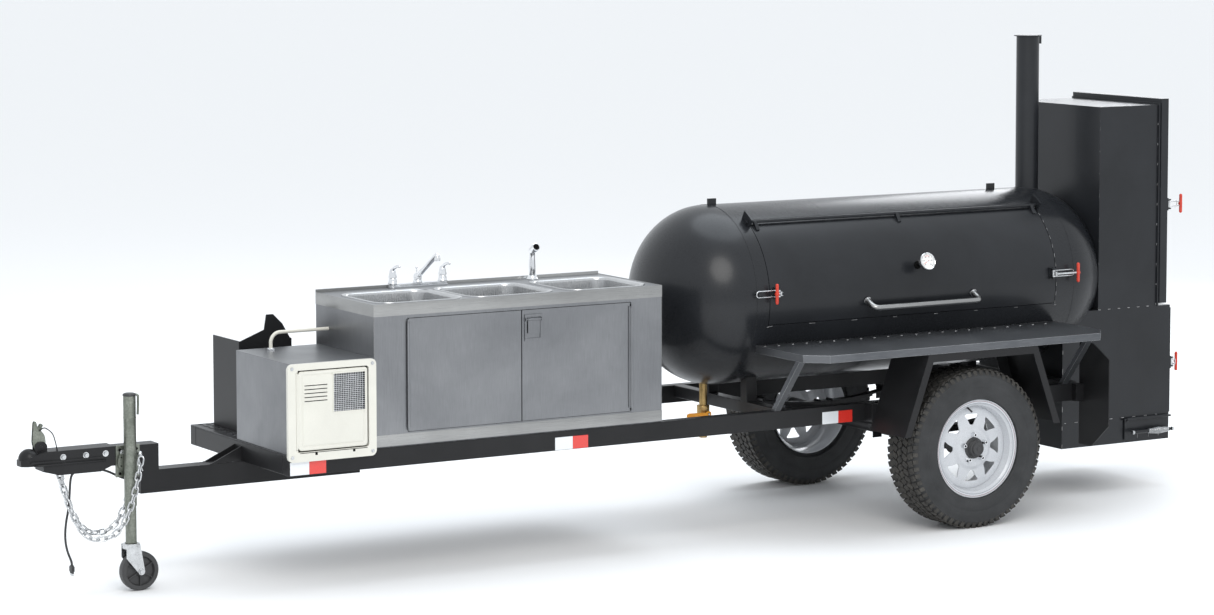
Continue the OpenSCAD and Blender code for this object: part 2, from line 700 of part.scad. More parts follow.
// Three racks; the lowest is short, to clear the tank's domed end
module warm_box_racks() color("#8d9092") at_axle() for (rack = [[1150, 2], [1330, 0], [1510, 0]]) {
    z = rack[0];
    front = 1000 + 40 * rack[1];
    both_sides() block([front, 1290], [-301, -280], [z - 4, z]);
    for (y = [-278, 270]) block([front, 1290], [y, y + 8], [z, z + 8]);
    for (i = [rack[1]:7]) block([1000 + 40 * i, 1006 + 40 * i], [-278, 278], [z + 2, z + 8]);
}

module warm_box_door() color("#191a1c") at_axle() {
    difference() {
        union() {
            hollow_block(warm_door_x, [-318, 318], [firebox_top + 12, 1752], 4);
            for (z = warm_hinges) {
                block([1326, 1342], [317, 330], [z, z + 70]);
                rod_z(1334, 330, [z, z + 70], 9);
            }
        }
        for (z = warm_hinges) rod_z(1334, 330, [z - 1, z + 71], 5 + gap);
    }
    side_latch_base(1354, -318, 1276);
}

module warm_box_latch() color("#d6402b") at_axle() translate([1369, -305, 1276]) side_latch_lever(72);

// ---- sink cabinet ----

module sink_cabinet() color("#a7a9aa") at_axle() {
    difference() {
        hollow_block(cabinet_x, cabinet_y, [deck_top, cabinet_top], sheet_t, [0, 0, 1]);
        block([-2554, -1544], [-470, -440], [585, 1030]);
        for (x = bowls_x) translate([0, 0, cabinet_top - 5]) linear_extrude(10) rounded_outline(x, bowl_y, 60);
    }
    for (x = [-2554, -1544]) {
        rod_z(x, cabinet_hinge_y, [590, 1025], 3, $fn = 24);
        for (z = [590, 1017]) block([x - 3, x + 3], [cabinet_hinge_y, -456], [z, z + 8]);
    }
}

module sink_bowls() color("#b9bbbc") at_axle() for (x = bowls_x) {
    low = cabinet_top - bowl_depth;
    difference() {
        union() {
            translate([0, 0, low]) linear_extrude(bowl_depth) rounded_outline(x + [1, -1], bowl_y + [1, -1], 59);
            translate([0, 0, cabinet_top]) linear_extrude(2)
                rounded_outline(x + [-18, 18], bowl_y + [-18, 18], 70);
        }
        translate([0, 0, low + 2]) linear_extrude(bowl_depth + 10)
            rounded_outline(x + [3, -3], bowl_y + [3, -3], 57);
        rod_z((x[0] + x[1]) / 2, (bowl_y[0] + bowl_y[1]) / 2, [low - 5, low + 5], 22);
    }
}

module faucet_base() color("#d5d7d9") at_axle() {
    difference() {
        union() {
            block([-2382, -2130], [faucet_y - 22, faucet_y + 20], [cabinet_top, cabinet_top + 18]);
            for (x = [faucet_x - 113, faucet_x + 113]) rod_z(x, faucet_y, [cabinet_top + 18, 1128], 20);
            rod_z(faucet_x, faucet_y, [cabinet_top + 18, 1118], 18);
            rod_z(-1736, 10, [cabinet_top, 1104], 24);
        }
        rod_z(faucet_x, faucet_y, [1100, 1130], 10 + gap);
        for (x = [faucet_x - 113, faucet_x + 113]) rod_z(x, faucet_y, [1115, 1130], 7 + gap);
        rod_z(-1736, 10, [1092, 1110], 11 + gap);
    }
}

module tap(x) {
    rod_z(x, faucet_y, [1116, 1129], 7);
    rod_z(x, faucet_y, [1128.5, 1150], 17);
    rod_z(x, faucet_y, [1150, 1164], 10);
    profile_x([x - 7, x + 7]) polygon([[faucet_y + 8, 1155], [faucet_y + 4, 1172], [faucet_y - 40, 1184],
        [faucet_y - 62, 1180], [faucet_y - 40, 1174], [faucet_y - 8, 1162]]);
}

module hot_tap() color("#d5d7d9") at_axle() tap(faucet_x - 113);
module cold_tap() color("#d5d7d9") at_axle() tap(faucet_x + 113);

module faucet_spout() color("#d5d7d9") at_axle() {
    reach = 170;
    rise = 105;
    rod_z(faucet_x, faucet_y, [1102, 1134], 10);
    rod_z(faucet_x, faucet_y, [1118.5, 1134], 17);
    translate([faucet_x, faucet_y, 1128]) rotate([90 + atan2(rise, -reach), 0, 0]) mirror([0, 0, 1])
        cylinder(h = norm([reach, rise]), r = 10);
    translate([faucet_x, faucet_y - reach, 1128 + rise]) {
        sphere(12);
        rod_z(0, 0, [-26, 0], 12);
    }
}

module sprayer() color("#c9cbcd") at_axle() {
    rod_z(-1736, 10, [1093, 1110], 11);
    rod_z(-1736, 10, [1104.5, 1205], 14);
    translate([-1736, 10, 1205]) rotate([60, 0, 0]) cylinder(h = 40, r1 = 15, r2 = 18);
}

module cabinet_door(x) hollow_block(x, [-459, -445], [587, 1028], 1.5, [0, 0, 0], [0, 1, 0]);

module front_cabinet_door() color("#9fa1a2") at_axle() difference() {
    union() {
        cabinet_door([-2550, -2051]);
        rod_z(-2554, cabinet_hinge_y, [602, 1013], 5.5, $fn = 24);
        block([-2554, -2542], [cabinet_hinge_y, -458], [602, 1013]);
    }
    rod_z(-2554, cabinet_hinge_y, [580, 1040], 3 + gap, $fn = 24);
}

module rear_cabinet_door() color("#9fa1a2") at_axle() {
    difference() {
        union() {
            cabinet_door([-2047, -1548]);
            rod_z(-1544, cabinet_hinge_y, [602, 1013], 5.5, $fn = 24);
            block([-1556, -1544], [cabinet_hinge_y, -458], [602, 1013]);
        }
        rod_z(-1544, cabinet_hinge_y, [580, 1040], 3 + gap, $fn = 24);
    }
    difference() {
        block([-2036, -1958], [-463, -459], [905, 1010]);
        block([-2028, -1966], [-464, -459.5], [915, 1000]);
    }
    for (x = [-2034, -1964]) block([x, x + 4], [-470, -462], [984, 996]);
    rod_x([-2034, -1960], -467, 990, 2.5, $fn = 24);
}

module cabinet_latch() color("#b5b7b8") at_axle() difference() {
    union() {
        rod_x([-2026, -1968], -467, 990, 5, $fn = 24);
        block([-2024, -1970], [-467, -463.5], [935, 990]);
    }
    rod_x([-2040, -1950], -467, 990, 2.5 + gap, $fn = 24);
}

module heater_box() color("#a2a4a5") at_axle() difference() {
    hollow_block([-3062, cabinet_x[0] - 1], [-457, 20], [deck_top, 886], sheet_t, [0, 0, 1]);
    block([-3040, -2730], [-470, -440], [545, 860]);
}

module heater_case() color("#f1efe6") at_axle() {
    difference() {
        profile_y([-472, -457]) difference() {
            rounded_outline([-3073, -2698], [508, 885], 22);
            rounded_outline([-3040, -2730], [545, 860], 12);
        }
        rod_z(-3033, -466, [540, 545.5], 3, $fn = 24);
    }
    hollow_block([-3030, -2740], [-440, -140], [deck_top, 850], 3, [0, 1, 0]);
    for (z = [[546, 552], [853, 859]]) block([-3041, -3030], [-469, -463], z);
    rod_z(-3034, -466, [546, 859], 3, $fn = 24);
}

module heater_door() color("#f1efe6") at_axle() difference() {
    union() {
        profile_y([-470, -462]) rounded_outline([-3029, -2733], [548, 857], 12);
        rod_z(-3034, -466, [556, 849], 5, $fn = 24);
        block([-3034, -3026], [-469, -464], [556, 849]);
    }
    rod_z(-3034, -466, [540, 870], 3 + gap, $fn = 24);
    for (i = [0:4]) block([-3005, -2905], [-475, -455], [738 + 15 * i, 744 + 15 * i]);
    block([-2880, -2745], [-475, -467], [690, 840]);
}

module water_pipe() color("#d9d6c8") at_axle() {
    low = 886;
    bend = 40;
    rod_z(-2950, -60, [low, low + 30], 7);
    translate([-2950 + bend, -60, low + 30]) rotate([90, 0, 0]) rotate_extrude(angle = -90, $fn = 64)
        translate([-bend, 0]) circle(7, $fn = 24);
    rod_x([-2950 + bend, cabinet_x[0]], -60, low + 30 + bend, 7);
}

module gas_rack() color("#1d1e20") at_axle() {
    block([-2990, -2760], [150, 400], [deck_top, deck_top + 6]);
    for (x = [-2990, -2766]) block([x, x + 6], [150, 400], [deck_top + 6, 900]);
    profile_y([150, 156]) polygon([[-2984, 540], [-2766, 540], [-2766, 900], [-2800, 960], [-2840, 1000],
        [-2870, 1000], [-2880, 940], [-2984, 900]]);
}

// Two water tanks, modelled full
module water_tanks() color("#dfe2e2") at_axle() for (x = [-2660, -2000]) {
    block([x, x + 560], [-340, 20], [deck_top, 860]);
    rod_z(x + 60, -100, [860, 885], 30);
}

side_rails();
cross_members();
deck_plate();
tongue();
coupler();
safety_chains();
wiring_cable();
wiring_plug();
jack_mount();
fenders();
lamps_and_tapes();
axle_and_springs();
tank_shell();
tank_fittings();
cooking_grates();
side_shelf();
drain_pipe();
firebox_shell();
fire_grate();
warm_box_shell();
warm_box_racks();
chimney();
sink_cabinet();
sink_bowls();
faucet_base();
heater_box();
heater_case();
water_pipe();
gas_rack();
water_tanks();
near_tyre();
near_wheel();
far_tyre();
far_wheel();
tank_door();
door_handle();
thermometer();
front_latch();
rear_latch();
chimney_cap();
warm_box_door();
warm_box_latch();
firebox_door();
firebox_latch();
ash_door();
front_cabinet_door();
rear_cabinet_door();
cabinet_latch();
faucet_spout();
hot_tap();
cold_tap();
sprayer();
heater_door();
jack_post();
jack_inner_tube();
jack_crank();
caster_fork();
caster_wheel();
coupler_latch();
valve_lever();
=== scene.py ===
import json
from math import cos, pi, radians, sin, sqrt

import bmesh
import bpy
from bpy.props import FloatProperty, FloatVectorProperty, IntProperty, PointerProperty
from mathutils import Matrix, Vector

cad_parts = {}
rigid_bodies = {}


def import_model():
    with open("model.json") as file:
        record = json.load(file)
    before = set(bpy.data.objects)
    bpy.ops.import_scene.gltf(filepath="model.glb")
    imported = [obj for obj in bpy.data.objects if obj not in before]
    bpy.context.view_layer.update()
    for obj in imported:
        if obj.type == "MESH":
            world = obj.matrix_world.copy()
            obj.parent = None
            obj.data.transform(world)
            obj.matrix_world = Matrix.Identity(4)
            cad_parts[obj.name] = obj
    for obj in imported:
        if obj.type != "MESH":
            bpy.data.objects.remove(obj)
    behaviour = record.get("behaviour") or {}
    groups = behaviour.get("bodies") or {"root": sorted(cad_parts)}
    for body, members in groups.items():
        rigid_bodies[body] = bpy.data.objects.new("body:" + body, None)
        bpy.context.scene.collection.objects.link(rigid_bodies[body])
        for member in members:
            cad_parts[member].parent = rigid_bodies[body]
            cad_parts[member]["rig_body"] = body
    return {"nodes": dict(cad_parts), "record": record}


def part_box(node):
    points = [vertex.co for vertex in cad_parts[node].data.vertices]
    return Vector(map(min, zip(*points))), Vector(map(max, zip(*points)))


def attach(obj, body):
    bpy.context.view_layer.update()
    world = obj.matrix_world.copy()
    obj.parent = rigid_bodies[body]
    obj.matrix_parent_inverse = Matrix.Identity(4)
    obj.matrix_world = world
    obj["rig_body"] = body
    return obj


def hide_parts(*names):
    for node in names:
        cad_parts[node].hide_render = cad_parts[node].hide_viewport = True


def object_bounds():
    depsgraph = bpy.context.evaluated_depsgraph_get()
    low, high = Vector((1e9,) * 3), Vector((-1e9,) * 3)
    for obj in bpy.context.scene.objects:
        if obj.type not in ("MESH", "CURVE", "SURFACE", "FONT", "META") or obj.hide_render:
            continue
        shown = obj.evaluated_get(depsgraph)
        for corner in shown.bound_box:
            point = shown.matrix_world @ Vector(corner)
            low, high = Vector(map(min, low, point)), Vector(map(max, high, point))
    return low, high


bl_info = {"name": "Trailer Smoker Finisher", "version": (1, 0, 0), "blender": (4, 5, 0),
    "location": "View3D > Sidebar > Smoker",
    "description": "Dresses the trailer smoker's frame model with its finished pieces and materials",
    "category": "Object",}

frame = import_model()
CAD_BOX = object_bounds()

MM = 0.001
SEED = 41
UP = Vector((0, 0, 1))
DRESSED = set()


def span(node):
    """A frame node's low and high corners, in millimetres."""
    low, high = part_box(node)
    return low / MM, high / MM


TYRE_LOW, TYRE_HIGH = span("near_tyre")
AXLE = (TYRE_LOW + TYRE_HIGH) / 2
TANK_LOW, TANK_HIGH = span("tank_shell")
TANK_RADIUS = (TANK_HIGH.z - TANK_LOW.z) / 2
TANK_Z = (TANK_HIGH.z + TANK_LOW.z) / 2
RAIL_LOW = span("side_rails")[0]


def at(x, y, z):
    """A place given in millimetres: behind the axle, off the centre line, above the ground."""
    return Vector((AXLE.x + x, y, z))


# ---- mesh kit ----

class Piece:
    """One piece in the making, in millimetres: a mesh that may carry several finishes."""

    def __init__(self, *finishes):
        self.bm = bmesh.new()
        self.finishes = [finish_of(finish) for finish in finishes]
        self.index = 0

    def use(self, finish):
        finish = finish_of(finish)
        if finish not in self.finishes:
            self.finishes.append(finish)
        self.index = self.finishes.index(finish)
        return self

    def face(self, corners):
        try:
            made = self.bm.faces.new(corners)
        except ValueError:
            return None
        made.material_index = self.index
        return made

    def loft(self, rings, closed=True, ends=True, loop=False):
        """Skins rings of points; a ring of one point is a pole."""
        rows = [[self.bm.verts.new(p) for p in ring] for ring in rings]
        pairs = list(zip(rows, rows[1:]))
        if loop:
            pairs.append((rows[-1], rows[0]))
        for low, high in pairs:
            count = max(len(low), len(high))
            for k in range(count if closed else count - 1):
                m = (k + 1) % count
                if len(low) == 1:
                    self.face((low[0], high[m], high[k]))
                elif len(high) == 1:
                    self.face((low[k], low[m], high[0]))
                else:
                    self.face((low[k], low[m], high[m], high[k]))
        if ends and not loop and closed:
            if len(rows[0]) > 2:
                self.face(rows[0][::-1])
            if len(rows[-1]) > 2:
                self.face(rows[-1])
        return self

    def box(self, low, high):
        low, high = Vector(low), Vector(high)
        flat = [(low.x, low.y), (high.x, low.y), (high.x, high.y), (low.x, high.y)]
        return self.loft([[Vector((x, y, z)) for x, y in flat] for z in (low.z, high.z)])

    def prism(self, outline, axis, low, high):
        """An outline in the two other axes, in X-Y-Z order, carried along one axis."""
        def spot(p, s):
            return Vector({"x": (s, p[0], p[1]), "y": (p[0], s, p[1]), "z": (p[0], p[1], s)}[axis])
        return self.loft([[spot(p, s) for p in outline] for s in (low, high)])

    def lathe(self, profile, start, axis, steps=48, loop=False):
        """Turns (radius, distance) pairs about an axis."""
        axis = Vector(axis).normalized()
        side = axis.orthogonal().normalized()
        across = axis.cross(side)
        rings = []
        for radius, along in profile:
            centre = Vector(start) + axis * along
            if radius < 1e-7:
                rings.append([centre])
                continue
            rings.append([centre + radius * (cos(t) * side + sin(t) * across) for t in (2 * pi * k / steps
                for k in range(steps))])
        return self.loft(rings, loop=loop)

    def rod(self, start, end, radius, steps=24, chamfer=0.15):
        start, end = Vector(start), Vector(end)
        run = (end - start).length
        cut = radius * chamfer
        return self.lathe([(radius - cut, 0), (radius, cut), (radius, run - cut), (radius - cut, run)],
            start, end - start, steps)

    def tube(self, points, radius, sides=12):
        """A round bar along points; radius is one value or one for each point."""
        points = [Vector(p) for p in points]
        radii = radius if isinstance(radius, (list, tuple)) else [radius] * len(points)
        aim = (points[1] - points[0]).normalized()
        side = aim.orthogonal().normalized()
        rings = []
        for i, p in enumerate(points):
            ahead = (points[min(i + 1, len(points) - 1)] - points[max(i - 1, 0)]).normalized()
            side = (side - side.dot(ahead) * ahead).normalized()
            across = ahead.cross(side)
            rings.append([p + radii[i] * (cos(t) * side + sin(t) * across) for t in (2 * pi * k / sides
                for k in range(sides))])
        return self.loft(rings)

    def sphere(self, centre, radius, steps=20, squash=1.0, axis=UP):
        rows = steps // 2
        profile = [(radius * sin(pi * k / rows), -squash * radius * cos(pi * k / rows))
            for k in range(rows + 1)]
        return self.lathe(profile, centre, axis, steps)

    def add(self, mesh, moved=None):
        """Takes in a ready mesh with its own finishes."""
        first = len(self.bm.faces)
        if moved is not None:
            mesh.transform(moved)
        self.bm.from_mesh(mesh)
        self.bm.faces.ensure_lookup_table()
        for face in self.bm.faces[first:]:
            finish = mesh.materials[face.material_index] if mesh.materials else self.finishes[self.index]
            if finish not in self.finishes:
                self.finishes.append(finish)
            face.material_index = self.finishes.index(finish)
        bpy.data.meshes.remove(mesh)
        return self

    def done(self, name, body, replaces=(), bevel=0.0, sharp=35, recalc=True, segments=2):
        bm = self.bm
        if recalc:
            bmesh.ops.recalc_face_normals(bm, faces=bm.faces)
        for face in bm.faces:
            face.smooth = True
        for edge in bm.edges:
            edge.smooth = edge.calc_face_angle(0) < radians(sharp) if len(edge.link_faces) == 2 else True
        bm.transform(Matrix.Scale(MM, 4))
        mesh = bpy.data.meshes.new(name)
        bm.to_mesh(mesh)
        bm.free()
        for finish in self.finishes:
            mesh.materials.append(finish)
        piece = bpy.data.objects.new(name, mesh)
        bpy.context.scene.collection.objects.link(piece)
        if bevel:
            soften(piece, bevel, segments)
        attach(piece, body)
        if replaces:
            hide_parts(*replaces)
            DRESSED.update(replaces)
        return piece


def soften(piece, width, segments=2):
    edge = piece.modifiers.new("Edges", "BEVEL")
    edge.width = width * MM
    edge.segments = segments
    edge.limit_method = "ANGLE"
    edge.angle_limit = radians(38)
    edge.harden_normals = True
    edge.use_clamp_overlap = True


def cleaned(node):
    """A merged, flat-faced copy of a frame node's mesh, in millimetres."""
    bm = bmesh.new()
    bm.from_mesh(frame["nodes"][node].data)
    bmesh.ops.remove_doubles(bm, verts=bm.verts, dist=2e-5)
    bmesh.ops.dissolve_limit(bm, angle_limit=radians(0.4), verts=bm.verts, edges=bm.edges)
    plain = bpy.data.meshes.new("plain")
    bm.to_mesh(plain)
    bm.free()
    fresh = bmesh.new()
    fresh.from_mesh(plain)
    fresh.transform(Matrix.Scale(1 / MM, 4))
    bpy.data.meshes.remove(plain)
    return fresh


def softened(node, finish, width, extra=None):
    """A piece of the node's own shape with rounded edges, which may carry more parts."""
    piece = Piece(finish)
    piece.bm.free()
    piece.bm = cleaned(node)
    for face in piece.bm.faces:
        face.material_index = 0
    if extra:
        extra(piece)
    return piece.done(f"{node}_finished", frame["nodes"][node]["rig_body"], (node,), width, recalc=False)


def arc(centre, radius, start, end, steps):
    """Points on an arc, in degrees, both ends included."""
    turns = [radians(start + (end - start) * k / steps) for k in range(steps + 1)]
    return [(centre[0] + radius * cos(t), centre[1] + radius * sin(t)) for t in turns]


def rounded(x, y, radius, steps=6):
    """A rectangle with round corners, counter-clockwise."""
    points = []
    for cx, cy, start in ((x[1] - radius, y[1] - radius, 0), (x[0] + radius, y[1] - radius, 90),
            (x[0] + radius, y[0] + radius, 180), (x[1] - radius, y[0] + radius, 270)):
        points += arc((cx, cy), radius, start, start + 90, steps)
    return points


def bent(points, radius, steps=6):
    """A path with its corners rounded off by arcs of about the given radius."""
    points = [Vector(p) for p in points]
    path = [points[0]]
    for before, corner, after in zip(points, points[1:], points[2:]):
        back, ahead = (before - corner), (after - corner)
        reach = min(radius, back.length * 0.49, ahead.length * 0.49)
        start, end = corner + back.normalized() * reach, corner + ahead.normalized() * reach
        for k in range(steps + 1):
            t = k / steps
            path.append(start * (1 - t) ** 2 + corner * 2 * t * (1 - t) + end * t * t)
    return path + [points[-1]]


def line_mesh(points, loop=False):
    """A chain of edges for a tree to follow."""
    mesh = bpy.data.meshes.new("path")
    edges = [(k, k + 1) for k in range(len(points) - 1)] + ([(len(points) - 1, 0)] if loop else [])
    mesh.from_pydata([tuple(p) for p in points], edges, [])
    return mesh


def spot_mesh(spots):
    """Loose points, each with the way it faces."""
    mesh = bpy.data.meshes.new("spots")
    mesh.from_pydata([tuple(p) for p, _ in spots], [], [])
    aim = mesh.attributes.new("aim", "FLOAT_VECTOR", "POINT")
    for item, (_, way) in zip(aim.data, spots):
        item.vector = Vector(way).normalized()
    return mesh


# ---- geometry node kit ----

class Tree:
    """Short-hand for a geometry node tree with named inputs."""

    def __init__(self, name, *sockets):
        self.group = bpy.data.node_groups.new(name, "GeometryNodeTree")
        self.group.interface.new_socket("Geometry", in_out="INPUT", socket_type="NodeSocketGeometry")
        for label, kind in sockets:
            self.group.interface.new_socket(label, in_out="INPUT", socket_type="NodeSocket" + kind)
        self.group.interface.new_socket("Material", in_out="INPUT", socket_type="NodeSocketMaterial")
        self.group.interface.new_socket("Geometry", in_out="OUTPUT", socket_type="NodeSocketGeometry")
        self.start = self.group.nodes.new("NodeGroupInput")
        self.end = self.group.nodes.new("NodeGroupOutput")

    def value(self, label):
        return self.start.outputs[label]

    def add(self, kind, feeds=None, out=0, **settings):
        node = self.group.nodes.new(kind)
        for key, setting in settings.items():
            setattr(node, key, setting)
        for key, feed in (feeds or {}).items():
            if isinstance(feed, bpy.types.NodeSocket):
                self.group.links.new(feed, node.inputs[key])
            else:
                node.inputs[key].default_value = feed
        return node.outputs[out]

    def join(self, *parts):
        node = self.group.nodes.new("GeometryNodeJoinGeometry")
        for part in parts:
            self.group.links.new(part, node.inputs[0])
        return node.outputs[0]

    def maths(self, operation, a, b):
        return self.add("ShaderNodeMath", {0: a, 1: b}, operation=operation)

    def finish(self, geometry, smooth=False):
        solid = self.add("GeometryNodeRealizeInstances", {0: geometry})
        shaded = self.add("GeometryNodeSetShadeSmooth", {"Geometry": solid, "Shade Smooth": smooth})
        last = self.add("GeometryNodeSetMaterial", {"Geometry": shaded, "Material": self.value("Material")})
        self.group.links.new(last, self.end.inputs[0])
        return self.group


def grown(tree, base, **values):
    """Runs a tree on a base mesh and hands back the plain mesh it makes."""
    carrier = bpy.data.objects.new("carrier", base or bpy.data.meshes.new("empty"))
    bpy.context.scene.collection.objects.link(carrier)
    build = carrier.modifiers.new("Build", "NODES")
    build.node_group = tree
    for item in tree.interface.items_tree:
        label = item.name.lower().replace(" ", "_")
        if item.in_out == "INPUT" and label in values:
            build[item.identifier] = finish_of(values[label]) if label == "material" else values[label]
    graph = bpy.context.evaluated_depsgraph_get()
    mesh = bpy.data.meshes.new_from_object(carrier.evaluated_get(graph), depsgraph=graph)
    carrier.modifiers.remove(build)
    bpy.data.objects.remove(carrier)
    if not mesh.polygons:
        raise RuntimeError(f"the tree {tree.name} made nothing")
    return mesh


def cached(maker):
    """Builds a tree once and keeps it."""
    kept = []

    def give():
        if not kept:
            kept.append(maker())
        return kept[0]
    return give


@cached
def fastener_tree():
    """Hexagon heads on round washers, one at each point, facing its aim."""
    tree = Tree("Fasteners", ("Head Radius", "Float"), ("Head Height", "Float"), ("Washer Radius", "Float"),
        ("Washer Height", "Float"), ("Sides", "Int"))
    head = tree.add("GeometryNodeMeshCone", {"Vertices": tree.value("Sides"),
        "Radius Bottom": tree.value("Head Radius"), "Radius Top": tree.maths("MULTIPLY",
        tree.value("Head Radius"), 0.86), "Depth": tree.value("Head Height")})
    washer = tree.add("GeometryNodeMeshCylinder", {"Vertices": 20, "Radius": tree.value("Washer Radius"),
        "Depth": tree.value("Washer Height")})
    unit = tree.join(head, washer)
    aim = tree.add("GeometryNodeInputNamedAttribute", {"Name": "aim"}, data_type="FLOAT_VECTOR")
    turned = tree.add("FunctionNodeAlignRotationToVector", {"Vector": aim}, axis="Z")
    placed = tree.add("GeometryNodeInstanceOnPoints", {"Points": tree.value("Geometry"), "Instance": unit,
        "Rotation": turned})
    return tree.finish(placed)


@cached
def weld_tree():
    """A row of overlapping weld drops along a path."""
    tree = Tree("Weld Bead", ("Drop Radius", "Float"), ("Spacing", "Float"), ("Seed", "Int"))
    path = tree.add("GeometryNodeMeshToCurve", {"Mesh": tree.value("Geometry")})
    even = tree.add("GeometryNodeResampleCurve", {"Curve": path, "Length": tree.value("Spacing")},
        mode="LENGTH")
    drop = tree.add("GeometryNodeMeshUVSphere", {"Segments": 8, "Rings": 5,
        "Radius": tree.value("Drop Radius")})
    size = tree.add("FunctionNodeRandomValue", {2: 0.78, 3: 1.15, "Seed": tree.value("Seed")}, out=1)
    placed = tree.add("GeometryNodeInstanceOnPoints", {"Points": even, "Instance": drop, "Scale": size})
    return tree.finish(placed, smooth=True)


@cached
def row_tree():
    """Equal bars in a row."""
    tree = Tree("Bar Row", ("Start", "Vector"), ("Step", "Vector"), ("Bar", "Vector"), ("Count", "Int"))
    line = tree.add("GeometryNodeMeshLine", {"Count": tree.value("Count"),
        "Start Location": tree.value("Start"), "Offset": tree.value("Step")}, mode="OFFSET")
    bar = tree.add("GeometryNodeMeshCube", {"Size": tree.value("Bar")})
    placed = tree.add("GeometryNodeInstanceOnPoints", {"Points": line, "Instance": bar})
    return tree.finish(placed)


@cached
def coil_tree():
    """A coil of round wire that rises along Z."""
    tree = Tree("Wire Coil", ("Turns", "Float"), ("Low Radius", "Float"), ("High Radius", "Float"),
        ("Height", "Float"), ("Wire", "Float"))
    coil = tree.add("GeometryNodeCurveSpiral", {"Resolution": 20, "Rotations": tree.value("Turns"),
        "Start Radius": tree.value("Low Radius"), "End Radius": tree.value("High Radius"),
        "Height": tree.value("Height")})
    wire = tree.add("GeometryNodeCurvePrimitiveCircle", {"Resolution": 8, "Radius": tree.value("Wire")})
    skin = tree.add("GeometryNodeCurveToMesh", {"Curve": coil, "Profile Curve": wire, "Fill Caps": True})
    return tree.finish(skin, smooth=True)


@cached
def chain_tree():
    """Welded links along a path, each turned a quarter from the last."""
    tree = Tree("Chain Links", ("Pitch", "Float"), ("Link Length", "Float"), ("Link Width", "Float"),
        ("Wire", "Float"))
    path = tree.add("GeometryNodeMeshToCurve", {"Mesh": tree.value("Geometry")})
    even = tree.add("GeometryNodeResampleCurve", {"Curve": path, "Length": tree.value("Pitch")},
        mode="LENGTH")
    loop = tree.add("GeometryNodeCurvePrimitiveQuadrilateral", {"Width": tree.value("Link Length"),
        "Height": tree.value("Link Width")}, mode="RECTANGLE")
    bend = tree.maths("MULTIPLY", tree.value("Link Width"), 0.49)
    round_loop = tree.add("GeometryNodeFilletCurve", {"Curve": loop, "Radius": bend, "Count": 5}, mode="POLY")
    wire = tree.add("GeometryNodeCurvePrimitiveCircle", {"Resolution": 8, "Radius": tree.value("Wire")})
    link = tree.add("GeometryNodeCurveToMesh", {"Curve": round_loop, "Profile Curve": wire})
    tangent = tree.add("GeometryNodeInputTangent")
    along = tree.add("FunctionNodeAlignRotationToVector", {"Vector": tangent}, axis="X")
    odd = tree.maths("MODULO", tree.add("GeometryNodeInputIndex"), 2.0)
    angle = tree.maths("MULTIPLY_ADD", odd, pi / 2)
    angle.node.inputs[2].default_value = -pi / 4
    roll = tree.add("FunctionNodeAxisAngleToRotation", {"Axis": (1, 0, 0), "Angle": angle})
    turned = tree.add("FunctionNodeRotateRotation", {0: along, 1: roll}, rotation_space="LOCAL")
    placed = tree.add("GeometryNodeInstanceOnPoints", {"Points": even, "Instance": link, "Rotation": turned})
    return tree.finish(placed, smooth=True)


@cached
def tread_row_tree():
    """One row of rubber blocks round a wheel that turns about Y."""
    tree = Tree("Tread Row", ("Blocks", "Int"), ("Radius", "Float"), ("Block", "Vector"),
        ("Offset", "Float"), ("Skew", "Float"), ("Tilt", "Float"), ("Phase", "Float"))
    ring = tree.add("GeometryNodeMeshCircle", {"Vertices": tree.value("Blocks"),
        "Radius": tree.value("Radius")})
    stood = tree.add("GeometryNodeTransform", {"Geometry": ring, "Rotation": (pi / 2, 0, 0)})
    spin = tree.add("ShaderNodeCombineXYZ", {1: tree.value("Phase")})
    spun = tree.add("GeometryNodeTransform", {"Geometry": stood, "Rotation": spin})
    block = tree.add("GeometryNodeMeshCube", {"Size": tree.value("Block")})
    place = tree.add("GeometryNodeInputPosition")
    out = tree.add("FunctionNodeAlignRotationToVector", {"Vector": place}, axis="Z")
    kept = tree.add("FunctionNodeAlignRotationToVector", {"Rotation": out, "Vector": (0, 1, 0)}, axis="Y",
        pivot_axis="Z")
    skew = tree.add("ShaderNodeCombineXYZ", {0: tree.value("Tilt"), 2: tree.value("Skew")})
    turned = tree.add("FunctionNodeRotateRotation", {0: kept, 1: skew}, rotation_space="LOCAL")
    placed = tree.add("GeometryNodeInstanceOnPoints", {"Points": spun, "Instance": block, "Rotation": turned})
    shift = tree.add("ShaderNodeCombineXYZ", {1: tree.value("Offset")})
    moved = tree.add("GeometryNodeTranslateInstances", {"Instances": placed, "Translation": shift,
        "Local Space": False})
    return tree.finish(moved)


